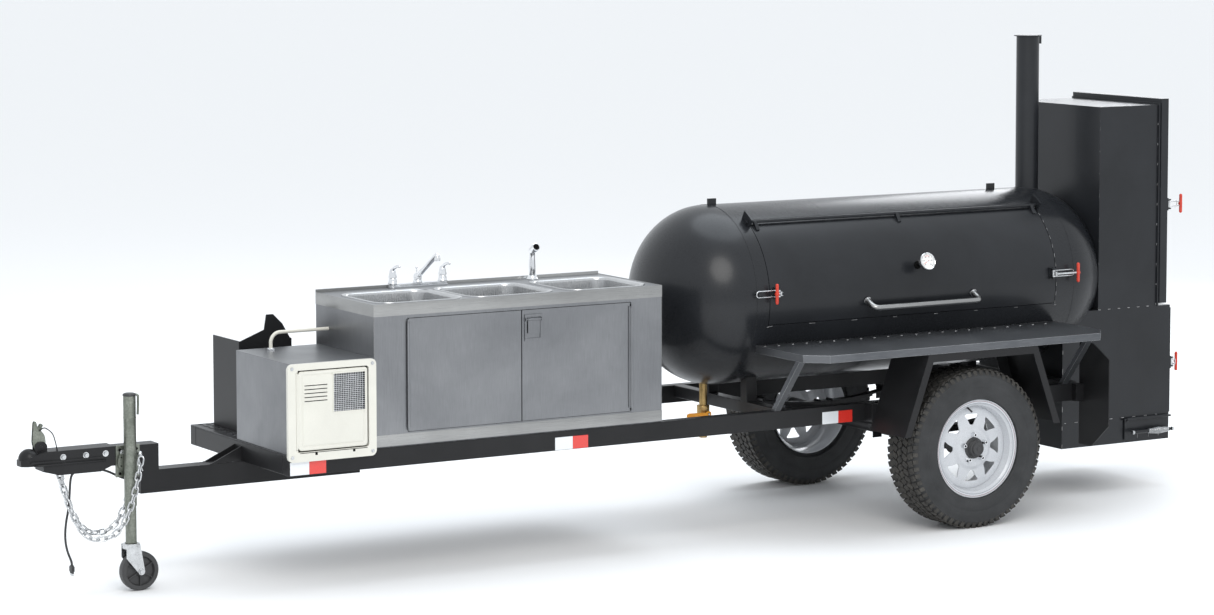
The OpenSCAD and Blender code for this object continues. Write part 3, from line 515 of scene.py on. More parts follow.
@cached
def lozenge_tree():
    """Raised lozenges on a plate, laid in turn one way and the other."""
    tree = Tree("Tread Plate", ("Size X", "Float"), ("Size Y", "Float"), ("Across", "Int"),
        ("Along", "Int"), ("Length", "Float"), ("Height", "Float"))
    grid = tree.add("GeometryNodeMeshGrid", {"Size X": tree.value("Size X"), "Size Y": tree.value("Size Y"),
        "Vertices X": tree.value("Along"), "Vertices Y": tree.value("Across")})
    number = tree.add("GeometryNodeInputIndex")
    column = tree.add("ShaderNodeMath", {0: tree.maths("DIVIDE", number, tree.value("Across"))},
        operation="FLOOR")
    row = tree.maths("MODULO", number, tree.value("Across"))
    odd = tree.maths("MODULO", tree.maths("ADD", row, column), 2.0)
    turn = tree.maths("MULTIPLY_ADD", odd, pi / 2)
    turn.node.inputs[2].default_value = pi / 4
    lie = tree.add("ShaderNodeCombineXYZ", {2: turn})
    bump = tree.add("GeometryNodeMeshCone", {"Vertices": 8, "Radius Bottom": tree.value("Length"),
        "Radius Top": tree.maths("MULTIPLY", tree.value("Length"), 0.72), "Depth": tree.value("Height")})
    slim = tree.add("GeometryNodeTransform", {"Geometry": bump, "Scale": (1.0, 0.26, 1.0)})
    placed = tree.add("GeometryNodeInstanceOnPoints", {"Points": grid, "Instance": slim, "Rotation": lie})
    return tree.finish(placed)


def weld(points, drop=2.2, spacing=3.2, finish="black_paint", loop=False):
    return grown(weld_tree(), line_mesh(points, loop), drop_radius=drop, spacing=spacing, seed=SEED,
        material=finish)


def bolts(spots, radius, height, washer, finish, sides=6):
    return grown(fastener_tree(), spot_mesh(spots), head_radius=radius, head_height=height,
        washer_radius=washer, washer_height=1.6, sides=sides, material=finish)


def bars(start, step, bar, count, finish):
    return grown(row_tree(), None, start=tuple(start), step=tuple(step), bar=tuple(bar), count=count,
        material=finish)


# ---- shader kit ----

def wire(tree, kind, feeds=None, out=0, **settings):
    """Adds a shader node, feeds its inputs and gives back one output."""
    node = tree.nodes.new(kind)
    for key, setting in settings.items():
        setattr(node, key, setting)
    for key, feed in (feeds or {}).items():
        if isinstance(feed, bpy.types.NodeSocket):
            tree.links.new(feed, node.inputs[key])
        else:
            node.inputs[key].default_value = feed
    return node.outputs[out]


def shader_group(name, inputs, outputs):
    tree = bpy.data.node_groups.new(name, "ShaderNodeTree")
    for label, kind, default in inputs:
        socket = tree.interface.new_socket(label, in_out="INPUT", socket_type="NodeSocket" + kind)
        socket.default_value = default
    for label, kind in outputs:
        tree.interface.new_socket(label, in_out="OUTPUT", socket_type="NodeSocket" + kind)
    return tree, tree.nodes.new("NodeGroupInput"), tree.nodes.new("NodeGroupOutput")


@cached
def grain_group():
    """Streaks or specks, and soft blotches, both from 0 to 1."""
    tree, start, end = shader_group("Grain And Blotches", [("Grain Scale", "Vector", (300, 300, 300)),
        ("Blotch Scale", "Float", 4.0)], [("Grain", "Float"), ("Blotches", "Float")])
    place = wire(tree, "ShaderNodeTexCoord", out=3)
    drawn = wire(tree, "ShaderNodeVectorMath", {0: place, 1: start.outputs[0]}, operation="MULTIPLY")
    fine = wire(tree, "ShaderNodeTexNoise", {"Vector": drawn, "Scale": 1.0, "Detail": 4.0, "Roughness": 0.62})
    broad = wire(tree, "ShaderNodeTexNoise", {"Vector": place, "Scale": start.outputs[1], "Detail": 5.0,
        "Roughness": 0.6, "Distortion": 0.3})
    for k, source in enumerate((fine, broad)):
        wide = wire(tree, "ShaderNodeMapRange", {"Value": source, "From Min": 0.3, "From Max": 0.7})
        tree.links.new(wide, end.inputs[k])
    return tree


@cached
def edge_group():
    """Where corners are rubbed bare: a broken mask along convex and concave edges."""
    tree, start, end = shader_group("Rubbed Edges", [("Width", "Float", 0.002), ("Amount", "Float", 0.5)],
        [("Mask", "Float")])
    round_off = wire(tree, "ShaderNodeBevel", {"Radius": start.outputs[0]}, samples=2)
    true = wire(tree, "ShaderNodeNewGeometry", out=1)
    cosine = wire(tree, "ShaderNodeVectorMath", {0: round_off, 1: true}, out=1, operation="DOT_PRODUCT")
    turned = wire(tree, "ShaderNodeMath", {0: 1.0, 1: cosine}, operation="SUBTRACT")
    strong = wire(tree, "ShaderNodeMapRange", {"Value": turned, "From Min": 0.02, "From Max": 0.16})
    place = wire(tree, "ShaderNodeTexCoord", out=3)
    patchy = wire(tree, "ShaderNodeTexNoise", {"Vector": place, "Scale": 38.0, "Detail": 5.0,
        "Roughness": 0.7})
    amount = wire(tree, "ShaderNodeMath", {0: 1.0, 1: start.outputs[1]}, operation="SUBTRACT")
    patch = wire(tree, "ShaderNodeMath", {0: patchy, 1: amount}, operation="SUBTRACT")
    broken = wire(tree, "ShaderNodeMapRange", {"Value": patch, "From Min": 0.0, "From Max": 0.12})
    both = wire(tree, "ShaderNodeMath", {0: strong, 1: broken}, operation="MULTIPLY")
    tree.links.new(both, end.inputs[0])
    return tree


FINISHES = {}


def finish_of(name):
    """The finish of that name; a finish itself is handed back."""
    return FINISHES[name] if isinstance(name, str) else name


def make_finish(name, colour, second, rough, metallic=0.0, grain=(300, 300, 300), blotch=3.0, tint=0.3,
        bump=0.15, depth=0.0002, worn=None, wear=0.0, width=1.6 * MM, coat=0.0, coat_rough=0.1, level=0.5,
        worn_metal=0.0):
    """A finish with grain, blotches, a rough span, surface bump and rubbed edges."""
    finish = bpy.data.materials.new(name)
    finish.use_nodes = True
    finish.diffuse_color = (*colour, 1)
    tree = finish.node_tree
    shader = tree.nodes["Principled BSDF"]
    marks = tree.nodes.new("ShaderNodeGroup")
    marks.node_tree = grain_group()
    marks.inputs["Grain Scale"].default_value = grain
    marks.inputs["Blotch Scale"].default_value = blotch
    fine, broad = marks.outputs
    mixed = wire(tree, "ShaderNodeMix", {0: broad, 6: (*colour, 1), 7: (*second, 1)}, out=2, data_type="RGBA")
    shade = wire(tree, "ShaderNodeMapRange", {"Value": fine, "To Min": 1.0 - tint,
        "To Max": 1.0 + tint * 0.5})
    base = wire(tree, "ShaderNodeVectorMath", {0: mixed, 1: shade}, operation="MULTIPLY")
    both = wire(tree, "ShaderNodeMath", {0: fine, 1: broad}, operation="ADD")
    span = wire(tree, "ShaderNodeMapRange", {"Value": both, "From Max": 2.0, "To Min": rough[0],
        "To Max": rough[1]})
    if wear:
        rubbed = tree.nodes.new("ShaderNodeGroup")
        rubbed.node_tree = edge_group()
        rubbed.inputs["Width"].default_value = width
        rubbed.inputs["Amount"].default_value = wear
        mask = rubbed.outputs[0]
        base = wire(tree, "ShaderNodeMix", {0: mask, 6: base, 7: (*(worn or second), 1)}, out=2,
            data_type="RGBA")
        if worn_metal != metallic:
            metal = wire(tree, "ShaderNodeMapRange", {"Value": mask, "To Min": metallic,
                "To Max": worn_metal})
            tree.links.new(metal, shader.inputs["Metallic"])
    tree.links.new(base, shader.inputs["Base Color"])
    tree.links.new(span, shader.inputs["Roughness"])
    if not shader.inputs["Metallic"].is_linked:
        shader.inputs["Metallic"].default_value = metallic
    shader.inputs["Coat Weight"].default_value = coat
    shader.inputs["Coat Roughness"].default_value = coat_rough
    shader.inputs["Specular IOR Level"].default_value = level
    height = wire(tree, "ShaderNodeBump", {"Strength": bump, "Distance": depth, "Height": fine})
    tree.links.new(height, shader.inputs["Normal"])
    FINISHES[name] = finish
    return finish


def paint(name, colour, second, rough=(0.26, 0.42), wear=0.45, coat=0.15, bump=0.12,
        worn=(0.30, 0.31, 0.33), **rest):
    return make_finish(name, colour, second, rough, grain=(420, 420, 420), blotch=2.2, tint=0.12, bump=bump,
        depth=0.0003, worn=worn, wear=wear, worn_metal=0.6, coat=coat, **rest)


def brushed(name, colour, second, rough, along, wear=0.0, **rest):
    """Bare metal with scratches along one axis."""
    coarse, fine = 14.0, 900.0
    grain = tuple(coarse if axis == along else fine for axis in "xyz")
    return make_finish(name, colour, second, rough, metallic=1.0, grain=grain, blotch=2.6, tint=0.16,
        bump=0.10, depth=0.0002, worn=(0.8, 0.81, 0.82), wear=wear, worn_metal=1.0, **rest)


def moulded(name, colour, second, rough, **rest):
    return make_finish(name, colour, second, rough, grain=(700, 700, 700), blotch=5.0, tint=0.06, bump=0.1,
        depth=0.0002, **rest)


def reflective_tape(name, colour, dark):
    """Tape with a fine honeycomb under a clear face."""
    finish = moulded(name, colour, dark, (0.12, 0.25), coat=0.8)
    tree = finish.node_tree
    shader = tree.nodes["Principled BSDF"]
    place = wire(tree, "ShaderNodeTexCoord", out=3)
    cells = wire(tree, "ShaderNodeTexVoronoi", {"Vector": place, "Scale": 260.0, "Randomness": 0.0},
        feature="DISTANCE_TO_EDGE")
    web = wire(tree, "ShaderNodeMapRange", {"Value": cells, "From Min": 0.04, "From Max": 0.12})
    colour_mix = wire(tree, "ShaderNodeMix", {0: web, 6: (*dark, 1), 7: (*colour, 1)}, out=2,
        data_type="RGBA")
    tree.links.new(colour_mix, shader.inputs["Base Color"])
    return finish


def make_finishes(looks):
    body = tuple(looks.paint_colour)
    paint("black_paint", body, tuple(c * 1.7 for c in body), wear=looks.edge_wear, level=0.3, coat=0.08)
    paint("tank_paint", body, tuple(c * 1.5 for c in body), rough=(0.22, 0.34), wear=0.0, coat=0.12,
        coat_rough=0.16, level=0.3)
    paint("frame_paint", (0.010, 0.010, 0.011), (0.018, 0.018, 0.019), rough=(0.30, 0.46),
        wear=looks.edge_wear, level=0.22, coat=0.05)
    paint("deck_paint", (0.016, 0.016, 0.017), (0.035, 0.036, 0.038), rough=(0.34, 0.5), wear=0.55,
        level=0.3, coat=0.05)
    brushed("stainless", (0.27, 0.275, 0.285), (0.20, 0.205, 0.215), (0.30, 0.44), "z")
    brushed("worktop_steel", (0.52, 0.525, 0.53), (0.45, 0.455, 0.46), (0.26, 0.40), "x")
    brushed("bowl_steel", (0.62, 0.625, 0.63), (0.50, 0.505, 0.51), (0.20, 0.32), "z")
    brushed("polished_steel", (0.38, 0.38, 0.375), (0.30, 0.30, 0.295), (0.24, 0.36), "x")
    make_finish("shelf_steel", (0.10, 0.106, 0.115), (0.15, 0.155, 0.165), (0.28, 0.42), metallic=0.75,
        grain=(22, 300, 300), blotch=3.0, tint=0.2, bump=0.1, worn=(0.62, 0.63, 0.64), wear=0.75,
        width=2.2 * MM, worn_metal=1.0)
    make_finish("chrome", (0.83, 0.84, 0.85), (0.72, 0.73, 0.75), (0.05, 0.13), metallic=1.0, blotch=9.0,
        tint=0.05, bump=0.03)
    make_finish("zinc", (0.30, 0.315, 0.275), (0.18, 0.195, 0.165), (0.32, 0.52), metallic=0.9,
        grain=(160, 160, 160), blotch=22.0, tint=0.3, bump=0.2, worn=(0.6, 0.6, 0.58), wear=0.35,
        worn_metal=1.0)
    make_finish("bright_zinc", (0.72, 0.73, 0.74), (0.52, 0.53, 0.54), (0.18, 0.34), metallic=1.0,
        grain=(240, 240, 240), blotch=30.0, tint=0.2, bump=0.12)
    make_finish("bare_steel", (0.66, 0.66, 0.67), (0.36, 0.35, 0.34), (0.24, 0.42), metallic=1.0,
        grain=(500, 500, 500), blotch=60.0, tint=0.3, bump=0.3)
    make_finish("grate_steel", (0.24, 0.23, 0.22), (0.12, 0.11, 0.10), (0.4, 0.62), metallic=0.9,
        grain=(260, 260, 260), blotch=12.0, tint=0.4, bump=0.35)
    make_finish("cast_iron", (0.030, 0.029, 0.028), (0.055, 0.048, 0.042), (0.55, 0.8), metallic=0.4,
        grain=(340, 340, 340), blotch=9.0, tint=0.4, bump=0.5, depth=0.0005)
    make_finish("brass", (0.60, 0.42, 0.17), (0.40, 0.27, 0.12), (0.24, 0.42), metallic=1.0,
        grain=(300, 300, 300), blotch=25.0, tint=0.25, bump=0.12)
    moulded("cover_white", (0.70, 0.69, 0.625), (0.64, 0.63, 0.57), (0.28, 0.44), worn=(0.55, 0.53, 0.46),
        wear=0.2)
    paint("wheel_white", (0.60, 0.615, 0.64), (0.54, 0.555, 0.58), rough=(0.18, 0.34), wear=0.0, coat=0.4,
        coat_rough=0.08)
    make_finish("rubber", (0.024, 0.025, 0.026), (0.050, 0.051, 0.053), (0.55, 0.78), grain=(500, 500, 500),
        blotch=9.0, tint=0.35, bump=0.35, depth=0.0004, level=0.35)
    make_finish("tread_rubber", (0.032, 0.031, 0.030), (0.085, 0.080, 0.072), (0.62, 0.85),
        grain=(320, 320, 320), blotch=24.0, tint=0.45, bump=0.5, depth=0.0006, level=0.3,
        worn=(0.16, 0.15, 0.135), wear=0.4)
    moulded("caster_black", (0.022, 0.022, 0.023), (0.045, 0.045, 0.046), (0.36, 0.55),
        worn=(0.12, 0.12, 0.12), wear=0.3)
    moulded("cable_black", (0.018, 0.018, 0.019), (0.034, 0.034, 0.036), (0.35, 0.52))
    make_finish("latch_red", (0.66, 0.055, 0.026), (0.52, 0.035, 0.018), (0.30, 0.46),
        grain=(260, 260, 260), blotch=40.0, tint=0.15, bump=0.2, worn=(0.80, 0.24, 0.17), wear=0.35,
        level=0.5)
    make_finish("valve_yellow", (0.78, 0.34, 0.018), (0.60, 0.22, 0.012), (0.34, 0.5),
        grain=(260, 260, 260), blotch=30.0, tint=0.15, bump=0.2, worn=(0.6, 0.45, 0.3), wear=0.3)
    make_finish("lamp_red", (0.42, 0.012, 0.010), (0.30, 0.008, 0.007), (0.08, 0.2), grain=(200, 200, 200),
        blotch=20.0, tint=0.1, bump=0.1, coat=1.0, coat_rough=0.05)
    make_finish("tank_plastic", (0.70, 0.73, 0.73), (0.62, 0.66, 0.66), (0.35, 0.5), grain=(180, 180, 180),
        blotch=6.0, tint=0.08, bump=0.2)
    moulded("pipe_white", (0.74, 0.72, 0.64), (0.66, 0.64, 0.57), (0.3, 0.45))
    moulded("dial_white", (0.84, 0.84, 0.83), (0.78, 0.78, 0.77), (0.25, 0.35), coat=0.6)
    # the dial's printed marks, and painted shade in the heater's screw slots and behind its wire mesh
    moulded("ink_black", (0.010, 0.010, 0.011), (0.02, 0.02, 0.02), (0.4, 0.6))
    # near-black and nearly unreflecting: painted shade in holes, slots, drains and openings that are not cut,
    # and the black of the thermometer stem and the sprayer's face
    moulded("gap_black", (0.002, 0.002, 0.002), (0.004, 0.004, 0.004), (0.8, 0.95), level=0.1)
    moulded("stripe_maroon", (0.20, 0.045, 0.06), (0.16, 0.035, 0.05), (0.25, 0.4), coat=0.4)
    moulded("stripe_grey", (0.22, 0.24, 0.27), (0.18, 0.20, 0.23), (0.25, 0.4), coat=0.4)
    reflective_tape("tape_white", (0.80, 0.82, 0.84), (0.58, 0.60, 0.63))
    reflective_tape("tape_red", (0.72, 0.035, 0.022), (0.50, 0.02, 0.014))


# ---- user's sizes and colours ----

class StageSettings(bpy.types.PropertyGroup):
    floor_half: FloatProperty(name="Floor half width", description="Half the width of the pale floor",
        default=160.0, unit="LENGTH")
    floor_colour: FloatVectorProperty(name="Floor colour", description="Colour of the floor",
        subtype="COLOR", default=(0.93, 0.93, 0.93))
    sky_colour: FloatVectorProperty(name="Sky colour", description="Colour of the light from all round",
        subtype="COLOR", default=(0.93, 0.965, 1.0))
    sky_strength: FloatProperty(name="Sky strength", description="Strength of the light from all round",
        default=1.02)
    key_power: FloatProperty(name="Key light", description="Power of the large soft light", default=380.0,
        subtype="POWER")
    lens: FloatProperty(name="Lens", description="Focal length of the camera on a 36 mm film", default=101.89)
    view_yaw: FloatProperty(name="Camera yaw", description="How far the camera turns from +Y towards +X",
        subtype="ANGLE", default=radians(31.496))
    view_pitch: FloatProperty(name="Camera pitch", description="How far the camera looks down",
        subtype="ANGLE", default=radians(4.873))


class FinishSettings(bpy.types.PropertyGroup):
    paint_colour: FloatVectorProperty(name="Paint", description="Colour of the black enamel",
        subtype="COLOR", default=(0.011, 0.012, 0.014))
    edge_wear: FloatProperty(name="Edge wear", description="How much of the painted edges is rubbed bare",
        default=0.42, min=0.0, max=1.0, subtype="FACTOR")
    edge_round: FloatProperty(name="Edge rounding", description="Rounding of plate edges", default=1.2 * MM,
        unit="LENGTH")


class MetalworkSettings(bpy.types.PropertyGroup):
    weld_drop: FloatProperty(name="Weld drop", description="Radius of one drop of a weld bead",
        default=2.4 * MM, unit="LENGTH")
    plate_across: IntProperty(name="Lozenge rows", description="Rows of lozenges across the deck", default=32)
    lozenge: FloatProperty(name="Lozenge", description="Half the length of a lozenge on the deck",
        default=12.0 * MM, unit="LENGTH")


class RunningSettings(bpy.types.PropertyGroup):
    tread_blocks: IntProperty(name="Tread blocks", description="Blocks in one row of the tread", default=66)
    tread_depth: FloatProperty(name="Tread depth", description="Depth of the grooves", default=7.5 * MM,
        unit="LENGTH")
    window_count: IntProperty(name="Wheel windows", description="Windows in the wheel's disc", default=8)
    chain_wire: FloatProperty(name="Chain wire", description="Radius of the safety chain's wire",
        default=3.5 * MM, unit="LENGTH")


class TankSettings(bpy.types.PropertyGroup):
    dome_depth: FloatProperty(name="Dome depth", description="Depth of a domed end", default=325.0 * MM,
        unit="LENGTH")
    door_low: FloatProperty(name="Door low edge",
        description="Angle of the door's low edge, up from the near side", subtype="ANGLE",
        default=radians(-15.0))
    door_high: FloatProperty(name="Door high edge", description="Angle of the door's high edge",
        subtype="ANGLE", default=radians(53.9))


class SmokerSettings(bpy.types.PropertyGroup):
    stage: PointerProperty(type=StageSettings)
    finish: PointerProperty(type=FinishSettings)
    metalwork: PointerProperty(type=MetalworkSettings)
    running: PointerProperty(type=RunningSettings)
    tank: PointerProperty(type=TankSettings)


# ---- stage, cable and frame ----

class SMOKER_OT_stage(bpy.types.Operator):
    """Make the finishes, the pale floor, the soft light and the camera"""
    bl_idname = "smoker.stage"
    bl_label = "Stage and Camera"

    def execute(self, context):
        settings = context.scene.smoker.stage
        scene = context.scene
        scene.view_settings.view_transform = "Standard"
        make_finishes(context.scene.smoker.finish)
        half = settings.floor_half
        floor = Piece(moulded("floor", tuple(settings.floor_colour), tuple(settings.floor_colour),
            (0.8, 0.9), level=0.2))
        floor.face([floor.bm.verts.new(p) for p in ((-half, -half, 0), (half, -half, 0), (half, half, 0),
            (-half, half, 0))])
        mesh = bpy.data.meshes.new("floor")
        floor.bm.to_mesh(mesh)
        mesh.materials.append(floor.finishes[0])
        ground = bpy.data.objects.new("floor", mesh)
        scene.collection.objects.link(ground)
        scene.world = bpy.data.worlds.new("soft_sky")
        scene.world.use_nodes = True
        sky = scene.world.node_tree.nodes["Background"]
        sky.inputs["Color"].default_value = (*settings.sky_colour, 1)
        sky.inputs["Strength"].default_value = settings.sky_strength
        centre = (CAD_BOX[0] + CAD_BOX[1]) / 2
        for name, spot, size, power, colour in (("key_light", (-3.5, -7.5, 7.0), 6.0, settings.key_power,
                (1.0, 0.98, 0.95)), ("top_light", (1.5, 1.0, 8.0), 7.0, settings.key_power * 0.7,
                (0.86, 0.93, 1.0)), ("rim_light", (7.0, 4.5, 4.5), 4.0, settings.key_power * 0.35,
                (0.95, 0.97, 1.0))):
            lamp = bpy.data.lights.new(name, "AREA")
            lamp.shape = "DISK"
            lamp.size = size
            lamp.energy = power
            lamp.color = colour
            source = bpy.data.objects.new(name, lamp)
            source.location = spot
            source.rotation_euler = (centre - Vector(spot)).to_track_quat("-Z", "Y").to_euler()
            scene.collection.objects.link(source)
        eye = bpy.data.cameras.new("camera")
        eye.lens = settings.lens
        eye.clip_end = 400
        eye.shift_x = -0.0404
        eye.shift_y = -0.10
        camera = bpy.data.objects.new("camera", eye)
        camera.location = (-7.3756, -12.2231, 2.6686)
        camera.rotation_euler = (pi / 2 - settings.view_pitch, 0, -settings.view_yaw)
        scene.collection.objects.link(camera)
        scene.camera = camera
        return {"FINISHED"}


CABLE_RADIUS = 4.5 * MM
CABLE_ROUTE = [(-3494, -10, 420), (-3515, -10, 420), (-3545, -10, 424), (-3580, -10, 440),
    (-3615, -10, 459), (-3650, -10, 471), (-3690, -10, 475), (-3725, -10, 475), (-3748, -10, 472),
    (-3764, -10, 460), (-3770, -10, 440), (-3773, -10, 400), (-3776, -11, 360), (-3782, -12, 320),
    (-3791, -13, 280), (-3796, -14, 240), (-3795, -14, 200), (-3788, -15, 165), (-3777, -15, 138),
    (-3771, -15, 122), (-3771, -15, 112)]


class SMOKER_OT_cable(bpy.types.Operator):
    """Make the wiring cable and its flat plug"""
    bl_idname = "smoker.cable"
    bl_label = "Wiring Cable"

    def execute(self, context):
        route = [at(*p) * MM for p in CABLE_ROUTE]
        curve = bpy.data.curves.new("wiring_cable_jacket", "CURVE")
        curve.dimensions = "3D"
        curve.bevel_depth = CABLE_RADIUS
        curve.bevel_resolution = 4
        curve.resolution_u = 5
        curve.use_fill_caps = True
        line = curve.splines.new("NURBS")
        line.points.add(len(route) - 1)
        for point, place in zip(line.points, route):
            point.co = (*place, 1)
        line.order_u = 3
        line.use_endpoint_u = True
        cable = bpy.data.objects.new("wiring_cable_jacket", curve)
        context.scene.collection.objects.link(cable)
        curve.materials.append(finish_of("cable_black"))
        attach(cable, "trailer")
        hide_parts("wiring_cable")
        DRESSED.add("wiring_cable")
        low, high = span("wiring_plug")
        plug = Piece(finish_of("cable_black"))
        shell_low = low.z + 10
        cells = 4
        width = (high.y - low.y) / cells
        mid_x = (low.x + high.x) / 2
        thick = (high.x - low.x) / 2
        plug.prism(rounded((low.x, high.x), (low.y, high.y), thick * 0.45), "z", shell_low + 8, high.z - 6)
        for k in range(cells):
            y = low.y + width * (k + 0.5)
            plug.rod((mid_x, y, shell_low), (mid_x, y, high.z - 8), min(width * 0.47, thick * 0.92), 16)
        plug.loft([[Vector((mid_x + a * thick, (low.y + high.y) / 2 + b * width * s, z)) for a,
            b in ((-0.8, -1.7), (0.8, -1.7), (0.8, 1.7), (-0.8, 1.7))] for z, s in ((high.z - 8, 1.0),
            (high.z - 2, 0.75), (high.z, 0.3))])
        plug.use(finish_of("bright_zinc"))
        for k in range(cells):
            y = low.y + width * (k + 0.5)
            plug.rod((mid_x, y, low.z), (mid_x, y, shell_low + 4), 2.1, 14, 0.4)
        head = plug.done("wiring_plug_body", "trailer", ("wiring_plug",), 0.5)
        return {"FINISHED"}


def slot_of(node):
    return next(part["material_slot"] for part in frame["record"]["subparts"] if part["node"] == node)


def body_of(node):
    return frame["nodes"][node]["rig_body"]


def soft_nodes(*nodes, finish=None, extra=None, width=None):
    """Rounds the edges of frame nodes and adds what extra makes."""
    width = width or bpy.context.scene.smoker.finish.edge_round / MM
    for node in nodes:
        softened(node, finish or slot_of(node), width, extra)


class SMOKER_OT_chassis(bpy.types.Operator):
    """Round off the rails, cross members, tongue and deck, and lay the deck's lozenges and welds"""
    bl_idname = "smoker.chassis"
    bl_label = "Chassis"

    def execute(self, context):
        metal = context.scene.smoker.metalwork
        drop = metal.weld_drop / MM
        soft_nodes("side_rails", "cross_members", finish="frame_paint", width=3)

        def tongue_welds(piece):
            high = span("tongue")[1]
            rail = RAIL_LOW.z
            for y in (-38, 38):
                piece.add(weld([(RAIL_LOW.x, y, rail), (high.x, y, rail)], drop, finish=piece.finishes[0]))
            for y in (-34, 34):
                piece.add(weld([at(-3200, 0, 0) + Vector((0, y, rail)), Vector((RAIL_LOW.x, y, rail))],
                    drop, finish=piece.finishes[0]))
        soft_nodes("tongue", finish="frame_paint", extra=tongue_welds, width=3)

        def lozenges(piece):
            low, high = span("deck_plate")
            size = high - low
            margin = 22
            pitch = (size.y - 2 * margin) / (metal.plate_across - 1)
            along = int((size.x - 2 * margin) / pitch) + 1
            plate = grown(lozenge_tree(), None, size_x=pitch * (along - 1), size_y=size.y - 2 * margin,
                across=metal.plate_across, along=along, length=metal.lozenge / MM, height=2.4,
                material=piece.finishes[0])
            middle = (low + high) / 2
            piece.add(plate, Matrix.Translation((middle.x, middle.y, high.z)))
        soft_nodes("deck_plate", finish="deck_paint", extra=lozenges, width=0.8)
        return {"FINISHED"}


class SMOKER_OT_coupler(bpy.types.Operator):
    """Make the ball coupler with its bolts, side ridges and latch, and the short lanyard"""
    bl_idname = "smoker.coupler"
    bl_label = "Ball Coupler"

    def execute(self, context):
        def details(piece):
            spots = [(at(x, side * 46.5, 536), (0, side, 0)) for x in (-3812, -3720, -3640) for side in (-1,
                1)]
            piece.add(bolts(spots, 9, 9, 12, "bright_zinc"))
            for side in (-1, 1):
                piece.tube([at(x, side * y, 510) for x, y in ((-3925, 41), (-3850, 46.5), (-3800, 47.5),
                    (-3640, 47.5))], 4.5, 10)
        soft_nodes("coupler", finish="frame_paint", extra=details, width=4)
        lever = Piece("zinc")
        outline = [(-3908, 572), (-3916, 584), (-3918, 600), (-3915, 640), (-3913, 668), (-3909, 675),
            (-3904, 674), (-3899, 660), (-3897, 650), (-3891, 654), (-3886, 663), (-3880, 664),
            (-3876, 658), (-3882, 646), (-3884, 640), (-3879, 632), (-3872, 624), (-3868, 612),
            (-3866, 596), (-3868, 582), (-3876, 572)]
        plates = [(AXLE.x + x, z) for x, z in outline]
        for y in (-8, 5.2):
            lever.prism(plates, "y", y, y + 2.8)
        lever.box(at(-3908, -8, 573), at(-3870, 8, 577))
        lever.rod(at(-3887, -15, 580), at(-3887, 15, 580), 4.2)
        lever.rod(at(-3890, -9.5, 640), at(-3890, 9.5, 640), 2.6, 14)
        lever.done("coupler_latch_lever", body_of("coupler_latch"), ("coupler_latch",), 0.7)
        lanyard = Piece("cable_black")
        path = bent([at(-3889, -10, 640), at(-3880, -30, 655), at(-3850, -40, 632), at(-3835, -34, 586),
            at(-3828, -26, 563)], 22, 8)
        lanyard.tube(path, 2.2, 10)
        for end in (path[0], path[-1]):
            lanyard.sphere(end, 4, 12)
        lanyard.done("latch_lanyard", "trailer")
        return {"FINISHED"}


def chain_path(start, end, low, out, steps=60):
    """A slack chain's line between two ends."""
    path = []
    for k in range(steps + 1):
        t = k / steps
        ease = 0.93 * t + 0.07 * (3 * t * t - 2 * t ** 3)
        path.append(at(start[0] + (end[0] - start[0]) * ease,
            start[1] + (end[1] - start[1]) * t - out * (1 - (2 * t - 1) ** 4),
            start[2] + (end[2] - start[2]) * t - low * (1 - abs(2 * t - 1) ** 2.6)))
    return path


class SMOKER_OT_chains(bpy.types.Operator):
    """Hang the two safety chains"""
    bl_idname = "smoker.chains"
    bl_label = "Safety Chains"

    def execute(self, context):
        wire = context.scene.smoker.running.chain_wire / MM
        chains = Piece("bright_zinc")
        for ends in (((-3822, -26, 466), (-3524, -112, 505), 270, 20), ((-3800, 14, 455), (-3476, 60, 450),
                235, 0)):
            chains.add(grown(chain_tree(), line_mesh(chain_path(*ends)), pitch=29, link_length=38,
                link_width=21, wire=wire, material="bright_zinc"))
        chains.done("chain_links", "trailer", ("safety_chains",), recalc=False, sharp=60)
        return {"FINISHED"}


